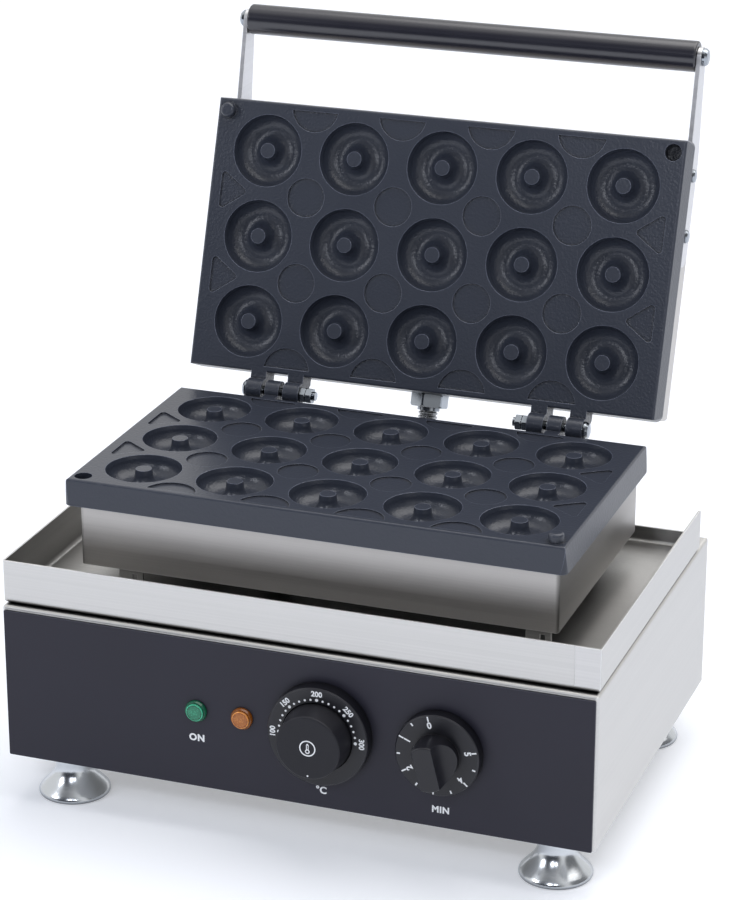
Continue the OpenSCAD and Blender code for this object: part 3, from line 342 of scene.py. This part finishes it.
# ---- Fascia ----
# A thin steel plate with black stoved paint, held behind the knobs. The short words under the
# controls are printed in white ink with a screen.

def painted(name, tone, roughness, gloss, grain_mm=0.4, depth=0.0001, mottle=0.06, edge=0.0004,
            edge_highlight_tone="#6b6e7a", reach=0.006, least=0.6):
    """Paint, coating or moulded plastic: the tone changes slightly in clouds about 45 mm wide, the
    face has a fine grain, most of it in hollows that nothing rubs, and the edges are rounded and
    painted a little lighter as a highlight. Corners and creases get painted shade. A grain takes
    up 0.7 of a noise cell. Real paint and plastic have one of 0.1 mm or less, and it is drawn
    coarser so that it shows."""
    cells_per_metre = 700 / grain_mm
    rough_spread = 0.04
    crease_reach, crease_least = 0.0016, 0.15
    rubbed_grain = 0.16
    material, tree = new_material(name)
    place = add(tree, "ShaderNodeTexCoord")
    cloud = add(tree, "ShaderNodeTexNoise", Scale=16.0, Detail=4.0,
                links=[("Vector", place, "Object")])
    grain = add(tree, "ShaderNodeTexNoise", Scale=cells_per_metre, Detail=2.0,
                links=[("Vector", place, "Object")])
    tone_range = add(tree, "ShaderNodeMapRange", To_Min=1 - mottle, To_Max=1 + mottle,
                     links=[(0, cloud, 0)])
    shade = add(tree, "ShaderNodeMix", data_type="RGBA", blend_type="MULTIPLY",
                values=[(0, 1.0), (6, colour(tone))], links=[(7, tone_range, 0)])

    # Painted light: paler on sharp edges as a highlight, painted shade in corners and darker still
    # in narrow creases.
    edged = add(tree, "ShaderNodeMix", data_type="RGBA", values=[(7, colour(edge_highlight_tone))],
                links=[(0, worn_edge(tree, edge), 0), (6, shade, 2)])
    corner = shut_in(tree, reach, least)
    crease = shut_in(tree, crease_reach, crease_least)
    dark = add(tree, "ShaderNodeMath", operation="MULTIPLY", links=[(0, corner, 0), (1, crease, 0)])
    shaded = add(tree, "ShaderNodeMix", data_type="RGBA", blend_type="MULTIPLY",
                 values=[(0, 1.0)], links=[(6, edged, 2), (7, dark, 0)])

    rough = add(tree, "ShaderNodeMapRange", To_Min=roughness - rough_spread,
                To_Max=roughness + rough_spread, links=[(0, cloud, 0)])
    soft_corner = add(tree, "ShaderNodeBevel", samples=4, Radius=edge)
    grain_left = add(tree, "ShaderNodeMapRange", From_Min=least, From_Max=1.0,
                     To_Min=1.0, To_Max=rubbed_grain, links=[(0, corner, 0)])
    bump = add(tree, "ShaderNodeBump", Distance=depth,
               links=[("Height", grain, 0), ("Normal", soft_corner, 0),
                      ("Strength", grain_left, 0)])
    face = add(tree, "ShaderNodeBsdfPrincipled",
               links=[("Base Color", shaded, 2), ("Roughness", rough, 0), ("Normal", bump, 0)])
    face.inputs["Specular IOR Level"].default_value = gloss
    add(tree, "ShaderNodeOutputMaterial", links=[(0, face, 0)])
    return material


# Satin black with a hint of violet, slightly cloudy.
dress(painted("black stoved paint", "#24232e", 0.42, 0.3, mottle=0.14), "control_fascia")

# Ink laid through a mesh: flat white, a little thinner over the threads. A screen has ten threads
# to the millimetre; here it is one, so that it shows.
white_ink, tree = new_material("white screen ink")
place = add(tree, "ShaderNodeTexCoord")
weave = add(tree, "ShaderNodeTexNoise", Scale=900.0, Detail=1.0,
            links=[("Vector", place, "Object")])
ink_tone = add(tree, "ShaderNodeMapRange", To_Min=0.88, To_Max=1.0, links=[(0, weave, 0)])
ink_white = add(tree, "ShaderNodeMix", data_type="RGBA", blend_type="MULTIPLY",
                values=[(0, 1.0), (6, colour("#f2f3f3"))], links=[(7, ink_tone, 0)])
ink_face = add(tree, "ShaderNodeBsdfPrincipled", Roughness=0.5,
               links=[("Base Color", ink_white, 2)])
add(tree, "ShaderNodeOutputMaterial", links=[(0, ink_face, 0)])

# The ink is drawn thicker than a real film, and stands just clear of the face under it.
ink_thick, proud = 0.00012, 0.00002


def printed_text(text, height, centre, turn=0.0, weight=0.0, spacing=1.0):
    """Lettering on a face that looks to the front, turned clockwise, as a thin closed mesh."""
    size_for_capitals = 1.4
    bpy.ops.object.select_all(action="DESELECT")
    bpy.ops.object.text_add()
    letters = bpy.context.object
    letters.data.body = text
    letters.data.size = height * size_for_capitals
    letters.data.align_x = "CENTER"
    letters.data.align_y = "CENTER"
    letters.data.space_character = spacing
    letters.data.offset = weight
    letters.data.extrude = ink_thick / 2
    letters.data.resolution_u = 4
    bpy.ops.object.convert(target="MESH")
    letters = bpy.context.object
    middle = sum((Vector(corner) for corner in letters.bound_box), Vector()) / 8
    letters.data.transform(Matrix.Translation(-middle))
    letters.matrix_world = (Matrix.Translation(Vector(centre) - Vector((0, ink_thick / 2, 0)))
                            @ Matrix.Rotation(turn, 4, "Y") @ Matrix.Rotation(pi / 2, 4, "X"))
    return letters


def printed_bar(width, height, centre, turn=0.0):
    """Short printed line with round corners on a face that looks to the front."""
    bpy.ops.object.select_all(action="DESELECT")
    bpy.ops.mesh.primitive_cube_add(size=1)
    bar = bpy.context.object
    bar.data.transform(Matrix.Diagonal((width, ink_thick, height, 1)))
    corners = bar.modifiers.new("round corners", "BEVEL")
    corners.width = min(width, height) * 0.3
    corners.segments = 3
    corners.limit_method = "ANGLE"
    corners.use_clamp_overlap = True
    apply_modifiers(bar)
    bar.matrix_world = (Matrix.Translation(Vector(centre) - Vector((0, ink_thick / 2, 0)))
                        @ Matrix.Rotation(turn, 4, "Y"))
    return bar


def printed_dot(radius, centre, hole=0.0):
    """Printed dot, or a ring where it has a hole, on a face that looks to the front."""
    bpy.ops.object.select_all(action="DESELECT")
    sides = 48 if hole else 20
    bpy.ops.mesh.primitive_circle_add(vertices=sides, radius=radius, fill_type="NGON")
    dot = bpy.context.object
    bpy.ops.object.mode_set(mode="EDIT")
    bpy.ops.mesh.select_all(action="SELECT")
    if hole:
        bpy.ops.mesh.inset(thickness=radius - hole)
        bpy.ops.mesh.delete(type="FACE")
        bpy.ops.mesh.select_all(action="SELECT")
    bpy.ops.mesh.extrude_region_move(TRANSFORM_OT_translate={"value": (0, 0, ink_thick)})
    bpy.ops.mesh.select_all(action="SELECT")
    bpy.ops.mesh.normals_make_consistent(inside=False)
    bpy.ops.object.mode_set(mode="OBJECT")
    dot.matrix_world = Matrix.Translation(centre) @ Matrix.Rotation(pi / 2, 4, "X")
    return dot


def joined(parts, name, body, material):
    """Makes one piece of several and settles it."""
    for part in parts:
        alone(part)
        bpy.ops.object.transform_apply(location=True, rotation=True, scale=True)
    alone(parts[0])
    for part in parts:
        part.select_set(True)
    bpy.ops.object.join()
    settle(bpy.context.object, name, body, material)


def middle_of(node):
    """Middle of a CAD node's box."""
    low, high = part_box(node)
    return (low + high) / 2


# For each word: its piece, its letters, the height of its capitals, its middle in X and Z, how much
# bolder its strokes are, and the spacing of its letters.
fascia_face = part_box("control_fascia")[0].y
green_x = middle_of("green_lamp_lens").x
words = (("word_on", "ON", 0.0046, green_x, 0.0697, 0.00028, 1.12),
         ("word_degrees", "°C", 0.0048, 0.0205, 0.0473, 0.00022, 1.0),
         ("word_minutes", "MIN", 0.0044, 0.1002, 0.0474, 0.00022, 1.1))
for name, text, height, x, z, weight, spacing in words:
    word = printed_text(text, height, (x, fascia_face - proud, z), weight=weight, spacing=spacing)
    joined([word], name, "base", white_ink)

# ---- Feet and fixings ----
# Each foot is a bell of steel with an almost straight skirt above its rim, turned, polished and
# chromed, on a stud that screws into the cabinet. Nuts, bolts and screws are zinc plated.

def plated(name, tint, roughness, edge=0.0003, uneven=0.05, reach=0.005, least=0.25):
    """Plated metal: it mirrors sharply, and the plating is slightly uneven, in waves about 12 mm
    wide. It gets painted shade in corners and near other pieces, such as the floor under a foot."""
    material, tree = new_material(name)
    place = add(tree, "ShaderNodeTexCoord")
    cloud = add(tree, "ShaderNodeTexNoise", Scale=60.0, Detail=4.0,
                links=[("Vector", place, "Object")])
    rough = add(tree, "ShaderNodeMapRange", To_Min=roughness * 0.7, To_Max=roughness * 1.3,
                links=[(0, cloud, 0)])
    soft_corner = add(tree, "ShaderNodeBevel", samples=4, Radius=edge)
    wave = add(tree, "ShaderNodeBump", Strength=uneven, Distance=0.0008,
               links=[("Height", cloud, 0), ("Normal", soft_corner, 0)])
    shade = add(tree, "ShaderNodeMix", data_type="RGBA", blend_type="MULTIPLY",
                values=[(0, 1.0), (6, colour(tint))], links=[(7, shut_in(tree, reach, least), 0)])
    metal = add(tree, "ShaderNodeBsdfPrincipled", Metallic=1.0,
                links=[("Base Color", shade, 2), ("Roughness", rough, 0), ("Normal", wave, 0)])
    add(tree, "ShaderNodeOutputMaterial", links=[(0, metal, 0)])
    return material


# Chrome: bright, with soft streaks of what it mirrors. Zinc: greyer and sharper.
chrome = plated("chrome plate", "#c3c7cb", 0.2, uneven=0.25)
zinc = plated("bright zinc plate", "#9da3aa", 0.13)


def turned(profile, sides):
    """Round shell about the Z axis from pairs of radius and height, open at both ends."""
    bpy.ops.object.select_all(action="DESELECT")
    bpy.ops.mesh.primitive_circle_add(vertices=sides, radius=profile[0][0], fill_type="NOTHING")
    piece = bpy.context.object
    bpy.ops.object.mode_set(mode="EDIT")
    bpy.ops.mesh.select_all(action="SELECT")
    bpy.ops.transform.translate(value=(0, 0, profile[0][1]))
    for (radius, height), (next_radius, next_height) in zip(profile, profile[1:]):
        bpy.ops.mesh.extrude_region_move(
            TRANSFORM_OT_translate={"value": (0, 0, next_height - height)})
        ratio = next_radius / radius
        bpy.ops.transform.resize(value=(ratio, ratio, 1), center_override=(0, 0, 0))
    bpy.ops.object.mode_set(mode="OBJECT")
    return piece


def close_ends(piece):
    """Fills both ends of a turned shell and smooths it, apart from its sharp edges."""
    alone(piece)
    bpy.ops.object.mode_set(mode="EDIT")
    bpy.ops.mesh.select_all(action="SELECT")
    bpy.ops.mesh.fill_holes(sides=0)
    bpy.ops.mesh.select_all(action="SELECT")
    bpy.ops.mesh.normals_make_consistent(inside=False)
    bpy.ops.object.mode_set(mode="OBJECT")
    bpy.ops.object.shade_smooth_by_angle(angle=radians(35))


# The bell's outline from its hollow underside over the rim and up the skirt: how far it lies
# outwards from the rim's radius, and its height.
foot_nodes = ("foot_front_left", "foot_front_right", "foot_rear_left", "foot_rear_right")
foot_low, foot_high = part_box("foot_front_left")
rim_radius = (foot_high.x - foot_low.x) / 2
bell_height, stud_radius = 0.035, 0.004
bell = [(-0.0024, 0.0032), (-0.0024, 0), (-0.0009, 0), (-0.0003, 0.0003), (0, 0.0010),
        (0, 0.0022), (-0.0006, 0.0034), (-0.0019, 0.0049), (-0.0041, 0.0073), (-0.0066, 0.0099),
        (-0.0086, 0.0124), (-0.0101, 0.0147), (-0.0111, 0.0167), (-0.0117, 0.0190),
        (-0.0120, 0.0220), (-0.0120, 0.0338), (-0.0124, bell_height)]
stud = [(stud_radius, bell_height), (stud_radius, foot_high.z)]
bell_foot = turned([(rim_radius + outwards, height) for outwards, height in bell] + stud, 72)
close_ends(bell_foot)
for name in foot_nodes:
    spot = middle_of(name)
    alone(bell_foot)
    bpy.ops.object.duplicate()
    foot = bpy.context.object
    foot.location = (spot.x, spot.y, 0)
    settle(foot, "bell_" + name, "base", chrome)
    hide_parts(name)
bpy.data.objects.remove(bell_foot, do_unlink=True)

dress(chrome, *foot_nodes)
dress(zinc, "floor_screws", "foot_nuts", "lower_clamp_screws", "upper_clamp_screws",
      "hinge_bolts", "hinge_nuts", "arm_screws", "handle_bolts", "conduit_base_nut",
      "conduit_lid_nut", "thermostat_shaft", "timer_shaft")

# ---- Mould plates and heater housings ----
# The plates are sand-cast aluminium, machined on the face, with a sprayed and baked non-stick
# coating whose edges are painted lighter as a highlight. The housings are folded stainless boxes
# that the plates close, and two clamps hold the element in each.

# Blue-grey and satin, with a pebble of about 1 mm that shows most in the moulds. The moulds and
# the corners of the recesses get painted shade.
coating = painted("non-stick coating on cast aluminium", "#333741", 0.3, 0.45,
                  grain_mm=1.2, depth=0.0011, mottle=0.05, edge=0.0005, edge_highlight_tone="#868b9c",
                  reach=0.01, least=0.5)
dress(coating, "lower_plate", "upper_plate")

# Duller than the cabinet. Its side walls get painted shade for the dark things that they mirror,
# darkest at their front.
housing_steel = brushed_steel("dull brushed stainless, painted side shade", "#c6c3c0", 0.42,
                              spread=0.07, least=0.6, front_shade=0.32)
dress(housing_steel, "lower_housing", "upper_housing", "lower_clamps", "upper_clamps")

# ---- Handle ----
# Flat stainless arms are screwed to the sides of the lid. Between them two bolts hold a grip that
# is turned from black phenolic rod.

# Bright flat bar with a fine level grain.
arm_steel = brushed_steel("brushed stainless flat bar", "#d2d2d4", 0.34, least=0.7)
dress(arm_steel, "handle_arm_left", "handle_arm_right")

# Polished black that draws the lamps out in long streaks.
phenolic = painted("black phenolic", "#1d1d27", 0.24, 0.8, grain_mm=0.9, depth=0.00012,
                   edge=0.0003, edge_highlight_tone="#4a4b58")
dress(phenolic, "handle_grip")

# ---- Flexible conduit ----
# Galvanised steel strip wound into a ribbed tube, held by a nut on the base and one on the lid.

conduit_start = Vector((0, 0.095036, 0.1494))
conduit_end = Vector((0, 0.10088, 0.2095))
lid_lean = radians(19.6)
straight_run = 0.02
rib_pitch, rib_outer, rib_inner = 0.0028, 0.0067, 0.0057

bpy.ops.object.select_all(action="DESELECT")
bpy.ops.curve.primitive_bezier_curve_add()
route = bpy.context.object
# It leaves the base straight up, and enters the lid at the angle at which the lid leans back.
out_of_base = Vector((0, 0, straight_run))
into_lid = Vector((0, sin(lid_lean), cos(lid_lean))) * straight_run
for point, spot, run in zip(route.data.splines[0].bezier_points, (conduit_start, conduit_end),
                            (out_of_base, into_lid)):
    point.handle_left_type = point.handle_right_type = "FREE"
    point.co = spot
    point.handle_left = spot - run
    point.handle_right = spot + run
route.data.resolution_u = 40
route_length = route.data.splines[0].calc_length()
rib_count = round(route_length / rib_pitch)
rib_step = route_length / rib_count

# One rib's outline. The ribs follow each other up a straight tube, which is then bent to the route.
rib = [(rib_inner, 0), (rib_outer, 0.2 * rib_step), (rib_outer, 0.55 * rib_step),
       (rib_inner, 0.75 * rib_step), (rib_inner, rib_step)]
conduit = turned(rib, 40)
ribs = conduit.modifiers.new("ribs", "ARRAY")
ribs.use_relative_offset = False
ribs.use_constant_offset = True
ribs.constant_offset_displace = (0, 0, rib_step)
ribs.count = rib_count
ribs.use_merge_vertices = True
ribs.merge_threshold = 0.00002
bend = conduit.modifiers.new("route", "CURVE")
bend.object = route
bend.deform_axis = "POS_Z"
apply_modifiers(conduit)
close_ends(conduit)
bpy.data.objects.remove(route, do_unlink=True)

# Hot-dipped zinc: grey, and duller than the plated nuts.
galvanised = plated("galvanised strip", "#a9abad", 0.28)
conduit.name = "ribbed_conduit"
conduit.data.materials.append(galvanised)
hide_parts("flexible_conduit")
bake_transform(conduit)
dress(galvanised, "flexible_conduit")

# ---- Temperature control ----
# A moulded ring with a printed scale stands fixed on the fascia. The knob in it is matt, with a
# printed sign for temperature on its face and a pointer dot at its rim.

# The knob has a fine matt grain. The ring and the timer's knob are smoother, with a satin shine.
# Both get deep painted shade near other pieces, as on the ring round the knob.
knob_black = painted("matt moulded knob", "#1b1b21", 0.5, 0.3, grain_mm=0.5, depth=0.00012,
                     edge=0.0004, edge_highlight_tone="#3a3b43", reach=0.012, least=0.25)
ring_black = painted("satin moulded ring", "#18181e", 0.35, 0.4, grain_mm=0.5, depth=0.00006,
                     edge=0.0004, edge_highlight_tone="#3a3b43", reach=0.012, least=0.25)
dress(knob_black, "temperature_knob", "cord_gland", "cord_gland_nut")
dress(ring_black, "temperature_scale", "timer_knob")


def in_front_of(node, face):
    """Place for ink in front of the middle of a CAD node, on a face at this Y."""
    middle = middle_of(node)
    return Vector((middle.x, face - proud, middle.z))


def on_dial(centre, radius, clockwise):
    """Place on a dial, at an angle clockwise from its top."""
    return centre + Vector((sin(clockwise), 0, cos(clockwise))) * radius


scale_centre = in_front_of("temperature_scale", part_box("temperature_scale")[0].y)
dot_circle, figure_circle, figure_height = 0.0257, 0.0298, 0.0035
small_dot, large_dot = 0.00075, 0.00105
scale_start, dot_turn, dots_per_figure = -90, 9, 5
figures = ("100", "150", "200", "250", "300")

# Dots from the left over the top to the right, each fifth one larger, with its figure outside it.
marks = []
for step in range(dots_per_figure * (len(figures) - 1) + 1):
    clockwise = radians(scale_start + dot_turn * step)
    marks.append(printed_dot(small_dot if step % dots_per_figure else large_dot,
                             on_dial(scale_centre, dot_circle, clockwise)))
for step, figure in enumerate(figures):
    clockwise = radians(scale_start + dot_turn * dots_per_figure * step)
    marks.append(printed_text(figure, figure_height,
                              on_dial(scale_centre, figure_circle, clockwise), turn=clockwise,
                              weight=0.00018))
joined(marks, "temperature_printing", "base", white_ink)

# The sign is a thermometer in a ring: a round bulb, two lines up from it and a dot at their top.
knob_face = in_front_of("temperature_scale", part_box("temperature_knob")[0].y)
ring_radius, ring_hole = 0.0054, 0.0046
bulb_radius, bulb_hole = 0.00155, 0.00085
bulb_drop, stem_rise, stem_half, stem_height, stem_line = 0.0021, 0.0009, 0.0006, 0.0036, 0.0005
top_radius, top_rise = 0.0006, 0.0027
pointer_radius, pointer_drop = 0.0006, 0.0190
sign = [printed_dot(ring_radius, knob_face, hole=ring_hole),
        printed_dot(bulb_radius, knob_face + Vector((0, 0, -bulb_drop)), hole=bulb_hole),
        printed_dot(top_radius, knob_face + Vector((0, 0, top_rise))),
        printed_bar(stem_line, stem_height, knob_face + Vector((-stem_half, 0, stem_rise))),
        printed_bar(stem_line, stem_height, knob_face + Vector((stem_half, 0, stem_rise))),
        printed_dot(pointer_radius, knob_face + Vector((0, 0, -pointer_drop)))]
joined(sign, "knob_printing", "temperature_knob", white_ink)

# ---- Timer ----
# The knob is moulded in one with a skirt and a bar to grip, and five minutes are printed round the
# skirt. It is turned against the clockwork, which turns it back with its skirt.

skirt_height = 0.0085
timer_centre = in_front_of("timer_knob", fascia_face - skirt_height)
tick_circle, number_circle, number_height = 0.0250, 0.0208, 0.0042
minute_tick, half_tick = (0.0010, 0.0034), (0.0011, 0.0022)
zero_turn, minute_turn, five_turn = radians(-13.6), radians(-54), radians(76.3)


def numbered_tick(minute, clockwise):
    """A minute's tick with its number, which stands nearer the middle."""
    return [printed_bar(*minute_tick, on_dial(timer_centre, tick_circle, clockwise),
                        turn=clockwise),
            printed_text(str(minute), number_height,
                         on_dial(timer_centre, number_circle, clockwise), turn=clockwise,
                         weight=0.0002)]


# The minutes run anticlockwise from 0, a little left of the top, with a short tick at each half.
ticks = []
for half in range(10):
    clockwise = zero_turn + half * minute_turn / 2
    if half % 2:
        ticks.append(printed_bar(*half_tick, on_dial(timer_centre, tick_circle, clockwise),
                                 turn=clockwise))
    else:
        ticks += numbered_tick(half // 2, clockwise)
ticks += numbered_tick(5, five_turn)
joined(ticks, "timer_printing", "timer_knob", white_ink)

# ---- Lamps ----
# Small neon lamps behind moulded acrylic lenses. A raised ring runs round each lens, and its
# inside is cut into small prisms that break the light up.

def acrylic(name, deep, bright, centre):
    """Tinted clear plastic with a glossy face, paler in the middle. A bright ring 5.5 mm from the
    middle and small bright cells about 1 mm wide, where the prisms inside break the light up, are
    painted into its colour as a highlight and glints."""
    material, tree = new_material(name)
    place = add(tree, "ShaderNodeTexCoord")
    centred = add(tree, "ShaderNodeMapping", Location=(-centre.x, 0, -centre.z),
                  links=[("Vector", place, "Object")])
    flat = add(tree, "ShaderNodeVectorMath", operation="MULTIPLY", values=[(1, (1, 0, 1))],
               links=[(0, centred, 0)])
    reach = add(tree, "ShaderNodeVectorMath", operation="LENGTH", links=[(0, flat, 0)])
    centimetres = add(tree, "ShaderNodeMath", operation="MULTIPLY", values=[(1, 100)],
                      links=[(0, reach, "Value")])
    ring = add(tree, "ShaderNodeValToRGB", links=[(0, centimetres, 0)])
    stops = ring.color_ramp.elements
    stops[0].position, stops[0].color = 0.0, (0.35, 0.35, 0.35, 1)
    stops[1].position, stops[1].color = 0.75, (0.05, 0.05, 0.05, 1)
    for out_cm, value in ((0.42, 0.3), (0.47, 0.1), (0.515, 0.12), (0.54, 1.0), (0.575, 0.85),
                          (0.60, 0.1)):
        stop = stops.new(out_cm)
        stop.color = (value, value, value, 1)
    cells = add(tree, "ShaderNodeTexVoronoi", Scale=900.0, links=[("Vector", flat, 0)])
    glint = add(tree, "ShaderNodeMapRange", From_Min=0.0, From_Max=0.6, To_Min=0.25, To_Max=-0.1,
                links=[(0, cells, "Distance")])
    light = add(tree, "ShaderNodeMath", operation="ADD", use_clamp=True,
                links=[(0, ring, 0), (1, glint, 0)])
    tint = add(tree, "ShaderNodeMix", data_type="RGBA",
               values=[(6, colour(deep)), (7, colour(bright))], links=[(0, light, 0)])
    bump = add(tree, "ShaderNodeBump", Strength=0.3, Distance=0.0002,
               links=[("Height", cells, "Distance")])
    face = add(tree, "ShaderNodeBsdfPrincipled", Roughness=0.22,
               links=[("Base Color", tint, 2), ("Normal", bump, 0)])
    face.inputs["Specular IOR Level"].default_value = 0.5
    add(tree, "ShaderNodeOutputMaterial", links=[(0, face, 0)])
    return material


green_centre = middle_of("green_lamp_lens")
amber_centre = middle_of("amber_lamp_lens")
dress(acrylic("green acrylic", "#034a33", "#46c597", green_centre), "green_lamp_lens")
dress(acrylic("amber acrylic", "#86420a", "#ee9c48", amber_centre), "amber_lamp_lens")

# Each rim is moulded from a darker grade of its lens's colour, green at the left and amber right.
rim_acrylic, tree = new_material("tinted acrylic rims")
place = add(tree, "ShaderNodeTexCoord")
axes = add(tree, "ShaderNodeSeparateXYZ", links=[(0, place, "Object")])
at_right = add(tree, "ShaderNodeMath", operation="GREATER_THAN",
               values=[(1, (green_centre.x + amber_centre.x) / 2)], links=[(0, axes, "X")])
rim_grain = add(tree, "ShaderNodeTexNoise", Scale=700.0, links=[("Vector", place, "Object")])
rim_tone = add(tree, "ShaderNodeMapRange", To_Min=0.8, To_Max=1.1, links=[(0, rim_grain, 0)])
rim_tint = add(tree, "ShaderNodeMix", data_type="RGBA",
               values=[(6, colour("#0b5e42")), (7, colour("#8a4c12"))], links=[(0, at_right, 0)])
rim_shade = add(tree, "ShaderNodeMix", data_type="RGBA", blend_type="MULTIPLY",
                values=[(0, 1.0)], links=[(6, rim_tint, 2), (7, rim_tone, 0)])
rim_face = add(tree, "ShaderNodeBsdfPrincipled", Roughness=0.18,
               links=[("Base Color", rim_shade, 2)])
add(tree, "ShaderNodeOutputMaterial", links=[(0, rim_face, 0)])
dress(rim_acrylic, "lamp_rims")

# ---- Inside the cabinet and the housings ----
# Tubular elements, the thermostat with its copper capillary, the clockwork in its zinc-plated case
# and a porcelain terminal block.

# Steel sheath, browned and dulled by heat.
element_steel = brushed_steel("heat-stained element sheath", "#6d6a66", 0.5)
dress(element_steel, "lower_element", "upper_element")

# Glazed cream with edges painted pale as a highlight, and bare copper with a soft shine.
porcelain = painted("glazed porcelain", "#d9d5c8", 0.3, 0.5, edge_highlight_tone="#f0eee6")
dress(porcelain, "thermostat_body", "terminal_block")
dress(zinc, "timer_body")
copper = plated("copper capillary", "#b87345", 0.3)
dress(copper, "thermostat_capillary")
